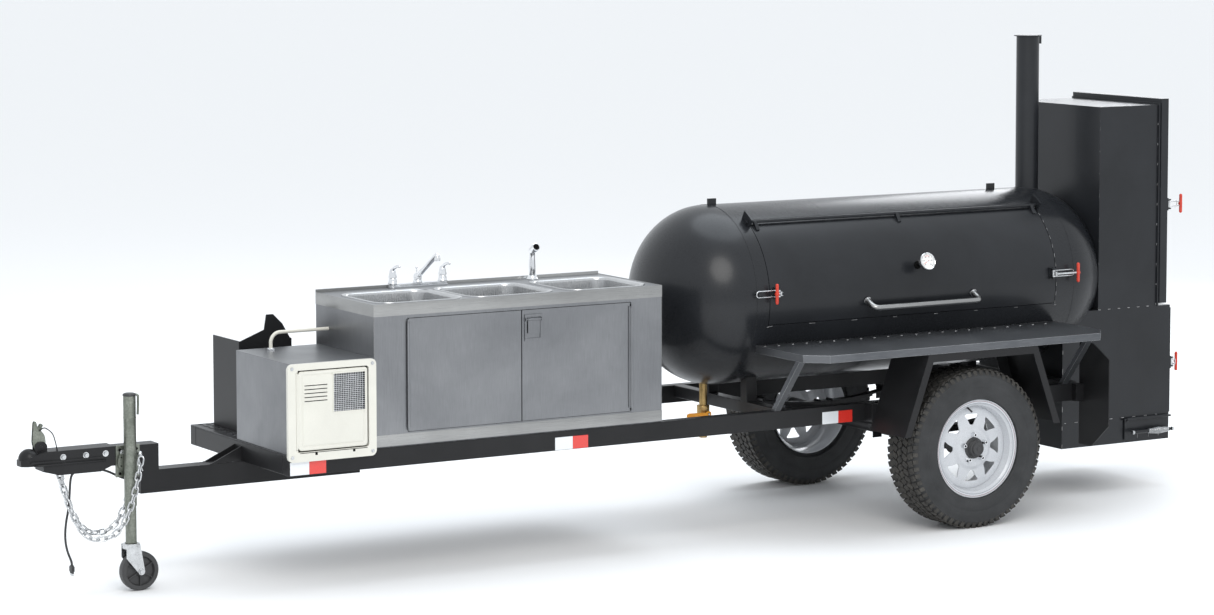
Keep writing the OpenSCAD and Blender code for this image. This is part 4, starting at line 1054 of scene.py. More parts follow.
class SMOKER_OT_jack(bpy.types.Operator):
    """Make the swivel jack: bracket, posts, folded crank and caster"""
    bl_idname = "smoker.jack"
    bl_label = "Jack"

    def execute(self, context):
        zinc = finish_of("zinc")
        low, high = span("jack_mount")

        def bracket(piece):
            face = low.y
            for x in (low.x + 15, high.x - 14):
                for z in (low.z + 14, high.z - 16):
                    # black discs of painted shade stand for the bracket's bolt holes
                    piece.use("gap_black")
                    piece.rod((x, face - 0.2, z), (x, face + 3, z), 5.5, 18)
            piece.use("bright_zinc")
            middle = (low.x + high.x) / 2
            piece.add(bolts([((low.x + 24, face - 2.5, high.z - 26), (0, -1, 0))], 8, 7, 10, "bright_zinc"))
            piece.lathe([(30, 0), (33, -1.4), (36, -1.4), (39, 0)], (middle, face, at(0, 0, 500).z),
                (0, 1, 0), 48, loop=True)
        soft_nodes("jack_mount", extra=bracket, width=2)

        low, high = span("jack_post")
        axis = at(-3552, -75, 0)
        post = Piece(zinc)
        r = 24
        base, top = low.z, high.z
        post.lathe([(r - 2, base), (r, base + 1), (r, top - 88), (r + 0.8, top - 86), (r + 0.8, top - 82),
            (r, top - 80), (r, top), (r - 2.3, top), (r - 2.3, base)], (axis.x, axis.y, 0), UP, 48,
            loop=True)
        pivot = at(-3552, 0, 500)
        post.lathe([(10.3, -58), (42, -58), (43, -56.5), (43, -48), (42, -46.6), (10.3, -46.6)],
            (pivot.x, 0, pivot.z), (0, 1, 0), 64, loop=True)
        # the six holes in the pivot plate are black discs of painted shade
        for k in range(6):
            t = radians(30 + 60 * k)
            hole = Vector((pivot.x + 33 * cos(t), -58.2, pivot.z + 33 * sin(t)))
            post.use("gap_black").rod(hole, hole + Vector((0, 1.5, 0)), 3.6, 14)
        post.use("bright_zinc")
        pin = at(-3516, 0, 530)
        post.rod((pin.x, -78, pin.z), (pin.x, -46.6, pin.z), 5)
        post.lathe([(0, -96), (5, -95), (9, -91), (10.3, -85), (9, -79), (6, -76), (6, -70), (0, -69)],
            (pin.x, 0, pin.z), (0, 1, 0), 28)
        post.tube(bent([(pin.x, -70, pin.z - 4), (pin.x + 3, -70, pin.z - 30), (pin.x + 16, -72,
            pin.z - 70)], 15), 3.2, 12)
        post.add(weld([Vector((axis.x + 22, axis.y + 14, z)) for z in range(462, 540, 4)], 2.2, finish=zinc))
        post.done("jack_post_tube", body_of("jack_post"), ("jack_post",), 0.6)

        low, high = span("jack_inner_tube")
        inner = Piece(zinc)
        r = 21.4
        inner.lathe([(0, low.z), (r - 1.5, low.z), (r, low.z + 1.5), (r, high.z - 1), (r - 1, high.z),
            (0, high.z)], (axis.x, axis.y, 0), UP, 40)
        inner.add(weld([(axis.x + r * cos(t), axis.y + r * sin(t),
            low.z + 2) for t in (2 * pi * k / 40 for k in range(40))], 2, finish=zinc, loop=True))
        inner.done("jack_leg_tube", body_of("jack_inner_tube"), ("jack_inner_tube",))

        low, high = span("jack_crank")
        cap = Piece("caster_black")
        rim = 26
        seat = high.z - 10.5
        cap.lathe([(0, seat), (rim - 1, seat), (rim, seat + 1), (rim, seat + 4), (rim * 0.9, high.z - 2),
            (rim * 0.7, high.z), (0, high.z)], (axis.x, axis.y, 0), UP, 40)
        cap.use(zinc)
        arm = [(axis.x + 24, axis.y - 1, seat + 4), (axis.x + 35, axis.y - 1, seat),
            (axis.x + 35, axis.y - 1, seat - 40), (axis.x + 33, axis.y - 1, seat - 75)]
        cap.tube(bent(arm, 8), 4.5, 14)
        cap.rod((axis.x, axis.y, seat - 150), (axis.x, axis.y, seat), 8)
        cap.done("jack_cap_and_handle", body_of("jack_crank"), ("jack_crank",), 0.8)

        soft_nodes("caster_fork", finish="bright_zinc", width=1.5,
            extra=lambda piece: piece.add(bolts([(at(-3522, -75 + side * 31, 76), (0, side,
            0)) for side in (-1, 1)], 11, 7, 13, "bright_zinc")))
        low, high = span("caster_wheel")
        middle = (low + high) / 2
        r, half = (high.z - low.z) / 2, (high.y - low.y) / 2
        wheel = Piece("caster_black")
        profile = [(7, -half), (16, -half), (17, -half * 0.6), (22, -half * 0.35), (r * 0.7, -half * 0.3),
            (r * 0.76, -half * 0.85), (r * 0.93, -half * 0.9), (r * 0.99, -half * 0.66)]
        full = profile + [(r, -half * 0.3), (r, half * 0.3)] + [(a, -b) for a, b in profile[::-1]]
        wheel.lathe(full, middle, (0, 1, 0), 64, loop=True)
        spokes = 6
        for k in range(spokes):
            t = 2 * pi * k / spokes
            turn = Matrix.Rotation(t, 3, "Y")
            rib = [Vector((x, y, z)) for x in (-2, 2) for y, z in ((-half * 0.8, 15), (half * 0.8, 15),
                (half * 0.75, r * 0.76), (-half * 0.75, r * 0.76))]
            wheel.loft([[middle + turn @ p for p in rib[:4]], [middle + turn @ p for p in rib[4:]]])
        wheel.done("caster_roller_wheel", body_of("caster_wheel"), ("caster_wheel",), 0.8)
        return {"FINISHED"}


class SMOKER_OT_running_gear(bpy.types.Operator):
    """Round off the fenders, springs and axle, and make lamps and reflective tapes"""
    bl_idname = "smoker.running_gear"
    bl_label = "Fenders, Springs and Lamps"

    def execute(self, context):
        drop = context.scene.smoker.metalwork.weld_drop / MM

        def fender_welds(piece):
            low = span("fenders")[0]
            for side in (-1, 1):
                edge = side * (abs(low.y) - 4)
                for x in (-283, 283):
                    piece.add(weld([Vector((AXLE.x + x, y, 758)) for y in (edge, side * 530)], drop * 0.7,
                        finish=piece.finishes[0]))
        soft_nodes("fenders", finish="frame_paint", extra=fender_welds, width=1.4)

        def spring_bolts(piece):
            spots = []
            for side in (-1, 1):
                for x in (-332, 332):
                    spots.append((at(x, side * 465, 430), (0, side, 0)))
                for x in (-33, 33):
                    for y in (-450, -413):
                        piece.tube(bent([at(x, side * -y, 356), at(x, side * -y, 402)], 2), 5.5, 10)
                        spots.append((at(x, side * -y, 356), (0, 0, -1)))
                for x in (-33, 33):
                    piece.rod(at(x, side * 450, 402), at(x, side * 413, 402), 5.5, 12)
            piece.add(bolts(spots, 10, 8, 13, "zinc"))
        soft_nodes("axle_and_springs", finish="frame_paint", extra=spring_bolts, width=1.2)

        trim = Piece("tape_white", "tape_red")
        skin = 0.9
        tape_low, tape_high = 456, 507
        length = 152
        for start in (-3060, -1897, -611):
            x0 = AXLE.x + start
            for side in (-1, 1):
                y0, y1 = sorted((side * abs(RAIL_LOW.y), side * (abs(RAIL_LOW.y) + skin)))
                split = x0 + length * 0.53
                trim.use("tape_white").box((x0, y0, tape_low), (split, y1, tape_high))
                trim.use("tape_red").box((split + 0.5, y0, tape_low), (x0 + length, y1, tape_high))
        rear = at(756, 0, 0).x
        for side in (-1, 1):
            centre = Vector((rear, side * 560, 520))
            trim.use("caster_black").lathe([(0, 0), (52, 0), (52, 12), (48, 14), (0, 14)], centre,
                (1, 0, 0), 48)
            trim.use("lamp_red").lathe([(0, 13), (47, 13), (46, 19), (40, 24), (20, 26), (0, 26)], centre,
                (1, 0, 0), 48)
            y0, y1 = sorted((side * 700, side * 660))
            trim.box(at(410, 0, 430) + Vector((0, y0, 0)), at(426, 0, 450) + Vector((0, y1, 0)))
        trim.done("lamps_tapes_finished", "trailer", ("lamps_and_tapes",), 0.3)
        return {"FINISHED"}


def window_outline(inner, outer, sweep, steps=4):
    """One rounded window of the wheel's disc, wider outside than inside."""
    mid = (inner + outer) / 2
    corner_points = [(inner, -sweep * 0.34), (inner, sweep * 0.34), (mid, sweep * 0.66),
        (outer * 0.985, sweep), (outer, sweep * 0.72), (outer, -sweep * 0.72), (outer * 0.985, -sweep),
        (mid, -sweep * 0.66)]
    flat = [Vector((r * cos(t), r * sin(t), 0)) for r, t in corner_points]
    path = bent([(flat[-1] + flat[0]) / 2] + flat + [(flat[-1] + flat[0]) / 2], 9, steps)
    return [(p.x, p.y) for p in path[1:-1]]


class SMOKER_OT_wheels(bpy.types.Operator):
    """Make the tyres with their tread and the eight-window wheels"""
    bl_idname = "smoker.wheels"
    bl_label = "Wheels and Tyres"

    def tyre(self, context, node, side):
        run = context.scene.smoker.running
        low, high = span(node)
        centre = (low + high) / 2
        half, top = (high.y - low.y) / 2, (high.z - low.z) / 2
        rim = 209
        tread = run.tread_depth / MM
        floor = top - tread
        tyre = Piece("rubber")
        right = [(rim - 13.5, 79), (rim + 1.5, 83.5), (rim + 1.5, half - 4), (rim + 5, half - 1.5),
            (rim + 10, half - 3), (rim + 14, half - 1.6), (rim + 30, half - 0.3), (rim + 52, half),
            (rim + 54, half - 1), (rim + 58, half - 1), (rim + 60, half), (rim + 82, half - 2.5),
            (floor - 22, half - 5), (floor - 20, half - 3.5), (floor - 10, half - 10),
            (floor - 4, half - 17), (floor, half - 26), (floor + 0.6, half * 0.4)]
        profile = right + [(r, -y) for r, y in right[::-1]]
        tyre.lathe(profile, centre, (0, -side, 0), 144, loop=True)
        rows = ((0, 30, 0.55, 0, 0.0), (1, 33, -0.5, 0, 0.5), (-1, 33, -0.5, 0, 0.5),
            (2, 32, 0.35, 0.12, 0.2), (-2, 32, 0.35, -0.12, 0.7))
        pitch = 2 * pi * top / run.tread_blocks
        for lane, width, skew, tilt, phase in rows:
            offset = lane * 34.5
            drop = 1.2 if abs(lane) == 2 else 0
            radius = top - tread / 2 - 0.4 - drop
            blocks = grown(tread_row_tree(), None, blocks=run.tread_blocks, radius=radius,
                block=(pitch * 0.74, width, tread), offset=offset, skew=skew, tilt=tilt,
                phase=phase * 2 * pi / run.tread_blocks, material="tread_rubber")
            tyre.add(blocks, Matrix.Translation(centre))
        lugs = grown(tread_row_tree(), None, blocks=run.tread_blocks, radius=floor - 9,
            block=(pitch * 0.55, 5, 22), offset=half - 10.5, skew=0.0, tilt=0.42, phase=0.0,
            material="tread_rubber")
        mirrored = lugs.copy()
        tyre.add(lugs, Matrix.Translation(centre))
        tyre.add(mirrored, Matrix.Translation(centre) @ Matrix.Rotation(pi, 4, "Z"))
        tyre.done(f"{node}_with_tread", body_of(node), (node,), 0.7, sharp=40, segments=1)

    def disc(self, centre, side, context):
        """The wheel's pressed disc, pierced by its windows."""
        count = context.scene.smoker.running.window_count
        face = -50
        rim = 178.5
        profile = [(16, face - 14), (74, face - 14), (82, face - 11), (90, face - 4), (100, face - 1),
            (rim - 14, face + 1), (rim - 4, face + 6), (rim, face + 16), (rim, face + 20),
            (rim - 6, face + 12), (rim - 16, face + 6), (100, face + 4), (88, face + 1), (78, face - 8),
            (72, face - 10), (16, face - 10)]
        disc = Piece("wheel_white")
        disc.lathe(profile, (0, 0, 0), (0, 1, 0), 96, loop=True)
        bmesh.ops.recalc_face_normals(disc.bm, faces=disc.bm.faces)
        body = bpy.data.meshes.new("disc")
        disc.bm.to_mesh(body)
        body.materials.append(finish_of("wheel_white"))
        cutter = Piece("wheel_white")
        outline = window_outline(97, 145, radians(15))
        for k in range(count):
            t = 2 * pi * k / count
            turned = [(x * cos(t) - z * sin(t), x * sin(t) + z * cos(t)) for x, z in outline]
            cutter.prism(turned, "y", -90, 0)
        bmesh.ops.recalc_face_normals(cutter.bm, faces=cutter.bm.faces)
        knife = bpy.data.meshes.new("knife")
        cutter.bm.to_mesh(knife)
        knife.materials.append(finish_of("wheel_white"))
        holder = bpy.data.objects.new("disc_blank", body)
        blade = bpy.data.objects.new("disc_blade", knife)
        for thing in (holder, blade):
            context.scene.collection.objects.link(thing)
        cut = holder.modifiers.new("Windows", "BOOLEAN")
        cut.object = blade
        cut.solver = "EXACT"
        graph = bpy.context.evaluated_depsgraph_get()
        mesh = bpy.data.meshes.new_from_object(holder.evaluated_get(graph), depsgraph=graph)
        for thing in (holder, blade):
            bpy.data.objects.remove(thing)
        if len(mesh.polygons) < 200:
            raise RuntimeError("the wheel's windows were not cut")
        return mesh

    def wheel(self, context, node, side):
        tyre_low, tyre_high = span(node.replace("wheel", "tyre"))
        centre = (tyre_low + tyre_high) / 2
        out = Vector((0, side, 0))
        rim = 209
        wheel = Piece("wheel_white")
        place = Matrix.Translation(centre) @ (Matrix.Identity(4) if side < 0 else Matrix.Rotation(pi, 4, "Z"))
        wheel.add(self.disc(centre, side, context), place)
        wheel.lathe([(rim, 84.5), (rim, 89), (rim - 2.5, 90), (rim - 9, 89), (rim - 15, 87), (rim - 18, 82),
            (rim - 26, 76), (rim - 28, 62), (rim - 34, 48), (rim - 34, -60), (rim - 20, -84),
            (rim - 18, -90), (rim - 14.4, -90), (rim - 14.4, -84), (rim - 30, -58), (rim - 30, 44),
            (rim - 24, 60), (rim - 21, 73), (rim - 14.4, 79), (rim - 12, 83)], centre, out, 128, loop=True)
        for radius, finish, wide in ((rim - 7.5, "stripe_maroon", 0.9), (rim - 15.8, "stripe_grey", 0.9)):
            level = 89.6 if radius > rim - 10 else 87.2
            wheel.use(finish_of(finish)).lathe([(radius - wide, level - 0.8), (radius - wide, level),
                (radius + wide, level), (radius + wide, level - 0.8)], centre, out, 128, loop=True)
        wheel.use("caster_black")
        base = 62
        wheel.lathe([(0, base), (45, base), (45, base + 8), (42, base + 11), (38, base + 12),
            (36, base + 20), (34, base + 22), (34, base + 28), (28, base + 31), (27.5, base + 33),
            (27.5, 100), (26, 102), (19, 102), (18, 100), (8, 99), (7, 101), (0, 101.5)], centre, out, 48)
        wheel.lathe([(16.2, -80), (42, -80), (42, 50), (16.2, 50)], centre, out, 40, loop=True)
        studs = 5
        for k in range(studs):
            t = 2 * pi * (k + 0.3) / studs
            spot = centre + Vector((57.15 * cos(t), 0, 57.15 * sin(t)))
            wheel.use("chrome").lathe([(12, 63), (12, 66), (10.4, 70), (9.6, 82), (8.4, 84), (5.4, 84),
                (5.2, 78), (0, 78)], spot, out, 6)
            # a black disc of painted shade fills the hollow end of each lug nut
            wheel.use("gap_black").rod(spot + out * 76, spot + out * 80, 4.8, 12)
        valve = radians(97)
        root = centre + Vector(((rim - 33) * cos(valve), side * 40, (rim - 33) * sin(valve)))
        tip = centre + Vector(((rim - 52) * cos(valve), side * 78, (rim - 52) * sin(valve)))
        wheel.use("cable_black").rod(root, tip, 4, 14)
        wheel.done(f"{node}_painted", body_of(node), (node,), 0.6)

    def execute(self, context):
        for prefix, side in (("near", -1), ("far", 1)):
            self.tyre(context, f"{prefix}_tyre", side)
            self.wheel(context, f"{prefix}_wheel", side)
        return {"FINISHED"}


# ---- tank, chimney and boxes ----

def on_tank(x, angle, lift=0.0):
    """A place on the tank's skin; the angle runs up from the near side."""
    radius = TANK_RADIUS + lift
    return Vector((AXLE.x + x, -radius * cos(angle), TANK_Z + radius * sin(angle)))


def stitch(piece, path, count, share, drop, finish):
    """Short weld dashes spread evenly along a straight or bent path."""
    last = len(path) - 1
    for k in range(count):
        first = int(last * k / count)
        end = max(first + 1, int(last * (k + share) / count))
        piece.add(weld(path[first:end + 1], drop, drop * 1.4, finish=finish))


class SMOKER_OT_tank(bpy.types.Operator):
    """Finish the domed tank, its door with hinge and brackets, and the fittings on its skin"""
    bl_idname = "smoker.tank"
    bl_label = "Tank and Door"

    def execute(self, context):
        tank = context.scene.smoker.tank
        paint_look = finish_of("tank_paint")
        bare = finish_of("bare_steel")
        full = 2 * pi

        def seams(piece):
            for x in (-886, 776):
                piece.add(weld([on_tank(x, full * k / 140) for k in range(140)], 1.3, 3.4,
                    finish=paint_look, loop=True))
            for x in (-828, 680):
                for angle in (tank.door_low - 0.02, tank.door_high + 0.02):
                    spot = on_tank(x, angle)
                    piece.add(weld([spot, spot + Vector((7, 0, 0))], 1.6, finish=bare))
            span = tank.door_high - tank.door_low
            side = [on_tank(679, tank.door_low + span * k / 120) for k in range(121)]
            stitch(piece, side, 11, 0.34, 0.9, bare)
            low = [on_tank(-822 + 1496 * k / 160, tank.door_low - 0.012) for k in range(161)]
            stitch(piece, low, 7, 0.10, 0.9, bare)
        soft_nodes("tank_shell", finish="tank_paint", extra=seams, width=1.0)
        soft_nodes("tank_fittings", finish="tank_paint", width=1.0)

        def hinge_line(piece):
            angle = radians(55.4)
            lift = 12
            for x in range(-830, 690, 96):
                middle = on_tank(x, angle, lift)
                piece.lathe([(7.05, 0), (7.9, 0.6), (7.9, 5.4), (7.05, 6)], middle, (1, 0, 0), 24)
            for x in (-800, -74, 652):
                for shift in (-9, 9):
                    line = [on_tank(x + shift, a) for a in (radians(49.5), radians(53))]
                    piece.add(weld(line, 1.8, finish="black_paint"))
        soft_nodes("tank_door", finish="black_paint", extra=hinge_line, width=1.2)
        return {"FINISHED"}


def capsule(piece, centre, half, radius, axis=UP):
    """A bar with round ends."""
    steps = 6
    profile = []
    for k in range(steps + 1):
        t = pi / 2 * k / steps
        profile.append((radius * sin(t), -half + radius - radius * cos(t)))
    profile += [(r, -a) for r, a in profile[::-1]]
    piece.lathe(profile, centre, axis, 24)


def wire_loop(piece, start, way, reach, half, radius):
    """The bent wire that hooks over the stud."""
    bend = 9
    path = [start + Vector((way * 5.5, 0, half)), start + Vector((way * (reach - bend), 0, half)),
        start + Vector((way * (reach - 0.3 * bend), 0, half * 0.78)), start + Vector((way * reach, 0,
        half * 0.3)), start + Vector((way * reach, 0, -half * 0.3)),
        start + Vector((way * (reach - 0.3 * bend), 0, -half * 0.78)), start + Vector((way * (reach - bend),
        0, -half)), start + Vector((way * 5.5, 0, -half))]
    piece.tube(bent(path, 5, 3), radius, 12)


class SMOKER_OT_door_furniture(bpy.types.Operator):
    """Make the bent handle, the dial thermometer and the red-handled toggle latches"""
    bl_idname = "smoker.door_furniture"
    bl_label = "Handle, Dial and Latches"

    def handle(self):
        steel = finish_of("polished_steel")
        bar = Piece(steel)
        tilt = radians(27)
        back = Vector((0, cos(tilt), sin(tilt)))
        left, right = at(-330, -435, 925), at(225, -435, 925)
        reach = 61.5
        bar.tube(bent([left + back * reach, left, right, right + back * reach], 34, 8), 12.5, 28)
        for end in (left, right):
            foot = end + back * reach
            bar.lathe([(12.6, -9), (15, -8), (15.5, -2), (13, 0)], foot, back, 28)
            bar.add(weld([foot - back * 1.5 + 15 * (cos(t) * Vector((1, 0,
                0)) + sin(t) * back.cross(Vector((1, 0, 0)))) for t in (2 * pi * k / 30
                for k in range(30))], 2.2, finish="bare_steel", loop=True))
        bar.done("door_handle_bar", body_of("door_handle"), ("door_handle",))

    def dial(self):
        tilt = radians(17)
        out = Vector((0, -cos(tilt), sin(tilt)))
        along = Vector((1, 0, 0))
        up = along.cross(out) * -1
        start = at(-60, 0, 0)
        start.z = TANK_Z
        skin = TANK_RADIUS
        gauge = Piece("gap_black")
        gauge.lathe([(0, skin - 2), (17, skin - 1.5), (17, skin + 5), (12, skin + 7), (8, skin + 8),
            (8, skin + 56), (14, skin + 60), (20, skin + 62), (0, skin + 62.5)], start, out, 32)
        chrome = finish_of("chrome")
        gauge.use(chrome).lathe([(0, skin + 61.5), (34, skin + 62), (37, skin + 64), (38, skin + 70),
            (38, skin + 78), (37.4, skin + 81.5), (36, skin + 83), (34.6, skin + 82), (34, skin + 78.5),
            (0, skin + 78)], start, out, 64)
        face = start + out * (skin + 78.2)
        gauge.use("dial_white").lathe([(0, 0), (33.9, 0), (33.9, 0.8), (0, 0.8)], face, out, 64)
        plane = face + out * 0.8
        ink = finish_of("ink_black")

        def mark(angle, inner, outer, width, look):
            way = cos(angle) * along + sin(angle) * up
            side = out.cross(way).normalized() * width / 2
            gauge.use(look).loft([[plane + way * inner - side, plane + way * outer - side,
                plane + way * outer + side, plane + way * inner + side],
                [p + out * 0.35 for p in (plane + way * inner - side, plane + way * outer - side,
                plane + way * outer + side, plane + way * inner + side)]])
        count = 50
        first, last = radians(225), radians(-45)
        for k in range(count + 1):
            angle = first + (last - first) * k / count
            mark(angle, (26 if k % 5 == 0 else 28.5), 31.5, (0.9 if k % 5 == 0 else 0.5), ink)
        zone_steps = 14
        for k in range(zone_steps):
            angle = radians(120) - radians(62) * k / zone_steps
            mark(angle, 22.6, 24.2, 2.0, "latch_red")
        mark(radians(208), -7, 25, 1.6, "latch_red")
        mark(radians(208) + pi, 4, 9, 2.6, "latch_red")
        for k in range(6):
            angle = first + (last - first) * k / 5
            text = bpy.data.curves.new("number", "FONT")
            text.body = str(100 * k + 50)
            text.size = 5.6
            text.align_x = text.align_y = "CENTER"
            text.extrude = 0.15
            text.resolution_u = 2
            carrier = bpy.data.objects.new("number", text)
            bpy.context.scene.collection.objects.link(carrier)
            graph = bpy.context.evaluated_depsgraph_get()
            mesh = bpy.data.meshes.new_from_object(carrier.evaluated_get(graph), depsgraph=graph)
            bpy.data.objects.remove(carrier)
            mesh.materials.clear()
            mesh.materials.append(ink)
            spot = plane + 19.6 * (cos(angle) * along + sin(angle) * up) + out * 0.15
            turn = Matrix((along, up, out)).transposed().to_4x4()
            gauge.add(mesh, Matrix.Translation(spot) @ turn)
        gauge.use(chrome).lathe([(0, 0), (3, 0), (3, 1.6), (2, 2.2), (0, 2.3)], plane, out, 24)
        gauge.done("thermometer_dial", body_of("thermometer"), ("thermometer",),
            recalc=True)

    def toggle(self, node, pivot, way, reach, handle):
        """A latch that hooks sideways over a stud."""
        latch = Piece("bright_zinc")
        latch.rod(pivot - UP * 16, pivot + UP * 16, 8)
        wire_loop(latch, pivot, way, reach, 13, 2.5)
        out = Vector((0, -1, 0))
        for z in (-8, 6):
            latch.box(pivot + Vector((-6, -22, z)), pivot + Vector((6, -4, z + 2)))
        latch.rod(pivot + out * 18, pivot + out * 18 + Vector((handle, 0, 0)), 4.6)
        latch.rod(pivot + out * 18 - UP * 9, pivot + out * 18 + UP * 9, 3.4)
        grip = pivot + Vector((handle, -20, 0))
        latch.use("latch_red")
        capsule(latch, grip, 43.5, 7)
        latch.lathe([(0, -9), (6, -8), (7.5, -3), (7.8, 4), (7, 7)], grip, (1, 0, 0), 20)
        latch.done(f"{node}_toggle", body_of(node), (node,))

    def side_toggle(self, node, pivot, handle):
        latch = Piece("bright_zinc")
        latch.rod(pivot - UP * 16, pivot + UP * 16, 8)
        for z in (-10, 10):
            latch.rod(pivot + Vector((6, 0, z)), pivot + Vector((handle, 0, z)), 2.5, 14)
        latch.tube(bent([pivot + Vector((3, -8, 12)), pivot + Vector((handle * 0.6, -8, 14)),
            pivot + Vector((handle * 0.6, -8, -14)), pivot + Vector((3, -8, -12))], 6, 3), 2.2, 10)
        latch.use("latch_red")
        grip = pivot + Vector((handle, 0, 0))
        capsule(latch, grip, 43.5, 7)
        latch.lathe([(6.5, -9), (7.8, -4), (7.8, 0), (6.8, 4)], grip, (1, 0, 0), 20)
        latch.done(f"{node}_toggle", body_of(node), (node,))

    def execute(self, context):
        self.handle()
        self.dial()
        self.toggle("front_latch", at(-790, -397, 1012), -1, 110, -22)
        self.toggle("rear_latch", at(650, -397, 1012), 1, 110, 120)
        self.side_toggle("firebox_latch", at(1417, -279, 556), 30)
        self.side_toggle("warm_box_latch", at(1369, -305, 1276), 72)
        return {"FINISHED"}


class SMOKER_OT_boxes(bpy.types.Operator):
    """Finish the chimney, its cap, the firebox, the warming box, their doors, the drain and the shelf"""
    bl_idname = "smoker.boxes"
    bl_label = "Chimney, Firebox and Warming Box"

    def execute(self, context):
        black = finish_of("black_paint")
        bare = finish_of("bare_steel")
        drop = context.scene.smoker.metalwork.weld_drop / MM

        def flue_welds(piece):
            radius = 51.5
            ring = []
            for k in range(80):
                t = 2 * pi * k / 80
                x, y = AXLE.x + 803 + radius * cos(t), radius * sin(t)
                past = max(0.0, x - (AXLE.x + 776))
                reach = TANK_RADIUS * sqrt(max(0.0, 1 - (past / tank_depth) ** 2))
                ring.append((x, y, TANK_Z + sqrt(reach ** 2 - y ** 2)))
            piece.add(weld(ring, drop, finish=black, loop=True))
        tank_depth = context.scene.smoker.tank.dome_depth / MM
        soft_nodes("chimney", extra=flue_welds, width=1.0)
        soft_nodes("chimney_cap", width=1.0)

        def warm_welds(piece):
            high = span("warm_box_shell")[1]
            x = AXLE.x + 974
            y = 305
            top = high.z - 8
            base = 824
            for side in (-1, 1):
                line = [Vector((x + 1, side * (y - 1), base + (top - base) * k / 120)) for k in range(121)]
                stitch(piece, line, 9, 0.12, 1.1, bare)
            roof = [Vector((x + (330) * k / 60, -y + 1, top)) for k in range(61)]
            stitch(piece, roof, 5, 0.2, 1.2, bare)
            rim = [Vector((AXLE.x + 1303, -y - 1, base + (top - base) * k / 120)) for k in range(121)]
            stitch(piece, rim, 10, 0.14, 1.4, bare)
            # three near-black strips stand for slots: painted shade, not cut openings
            piece.use("gap_black")
            for s in (-200, 0, 200):
                piece.box(at(1303.4, s - 30, 1717), at(1304, s + 30, 1724))
        soft_nodes("warm_box_shell", extra=warm_welds, width=1.4)

        def fire_welds(piece):
            y = -305.6
            line = [Vector((AXLE.x + (790 + 585 * k / 80), y, 326)) for k in range(81)]
            stitch(piece, line, 9, 0.2, 1.6, bare)
            back = [Vector((AXLE.x + 777, y, (216 + 590 * k / 80))) for k in range(81)]
            stitch(piece, back, 7, 0.2, 1.4, bare)
            top = [Vector((AXLE.x + (976 + 330 * k / 60), y + 1, 821)) for k in range(61)]
            stitch(piece, top, 6, 0.25, 1.6, bare)
        soft_nodes("firebox_shell", extra=fire_welds, width=1.4)
        soft_nodes("firebox_door", "warm_box_door", width=1.4)

        def grip(piece):
            coil = finish_of("bright_zinc")
            piece.use(coil)
            for x in (1150, 1376):
                piece.rod(at(x - 6, -345, 262), at(x + 6, -345, 262), 9, 18)
            turn = Matrix.Rotation(pi / 2, 4, "Y")
            half = 58
            middle = at(1292, -345, 262)
            for flip in (0, pi):
                mesh = grown(coil_tree(), None, turns=11.0, low_radius=15, high_radius=9.6, height=half,
                    wire=1.7, material=coil)
                piece.add(mesh, Matrix.Translation(middle) @ Matrix.Rotation(flip, 4, "Z") @ turn)
            piece.use("black_paint")
            for x in (1200, 1264, 1320):
                piece.add(weld([at(x, -313.4, 232), at(x, -313.4, 246)], 1.2, finish=bare))
        soft_nodes("ash_door", extra=grip, width=1.2)

        def shelf_welds(piece):
            back = [at(-855 + 1545 * k / 200, -386, 792.5) for k in range(201)]
            stitch(piece, back, 22, 0.1, 1.8, bare)
        soft_nodes("side_shelf", finish="shelf_steel", extra=shelf_welds, width=1.6)

        def collar(piece):
            for z in (440, 500):
                piece.lathe([(17, -5), (26, -4), (28.5, 0), (26, 4), (17, 5)], at(-911, 0, z), UP, 8)
            piece.use("bright_zinc").rod(at(-911, -51, 470), at(-911, -40, 470), 4.6, 6)
        soft_nodes("drain_pipe", finish="brass", extra=collar, width=0.8)
        lever = Piece("valve_yellow")
        lever.lathe([(5.1, 0), (13, 0), (13, 8), (5.1, 8)], at(-911, -46, 470), (0, 1, 0), 32, loop=True)
        outline = [(AXLE.x + x, z) for x, z in ((-920, 464), (-934, 462), (-950, 461), (-1012, 459),
            (-1021, 463), (-1023, 470), (-1021, 477), (-1012, 481), (-950, 479), (-934, 478), (-920, 476))]
        lever.prism(outline, "y", -50, -46)
        lever.done("drain_lever_handle", body_of("valve_lever"), ("valve_lever",), 1.0)
        return {"FINISHED"}


# ---- sink unit and heater ----

class SMOKER_OT_cabinet(bpy.types.Operator):
    """Finish the sink cabinet, its two doors and the paddle latch"""
    bl_idname = "smoker.cabinet"
    bl_label = "Sink Cabinet"

    def execute(self, context):
        top = span("sink_cabinet")[1].z

        def trims(piece):
            steel = finish_of("polished_steel")
            x0, x1 = at(-2700, 0, 0).x, at(-1399, 0, 0).x
            y0, y1 = -457, 50
            skin = 1.2
            piece.use(steel)
            piece.box((x0 - skin, y0 - skin, top - 46), (x1 + skin, y0, top + 1.5))
            piece.box((x0 - skin, y0, top - 46), (x0, y1, top + 1.5))
            piece.box((x1, y0, top - 46), (x1 + skin, y1, top + 1.5))
            piece.box((x0 - skin, y1, top - 46), (x1 + skin, y1 + skin, top + 12))
            piece.box((x0 - skin, y0 - skin, 536), (x1 + skin, y0, 580))
            piece.box((x1, y0, 536), (x1 + skin, y1, 580))
            piece.add(weld([(x1, y0 - 0.5, 586), (x1, y0 - 0.5, 1036)], 1.3, 5, finish=steel))
            piece.add(weld([(x0, y0 - 0.5, 586), (x0, y0 - 0.5, 1036)], 1.3, 5, finish=steel))
        soft_nodes("sink_cabinet", finish="stainless", extra=trims, width=0.9)
        soft_nodes("front_cabinet_door", "rear_cabinet_door", "cabinet_latch", finish="stainless",
            width=0.8)
        return {"FINISHED"}


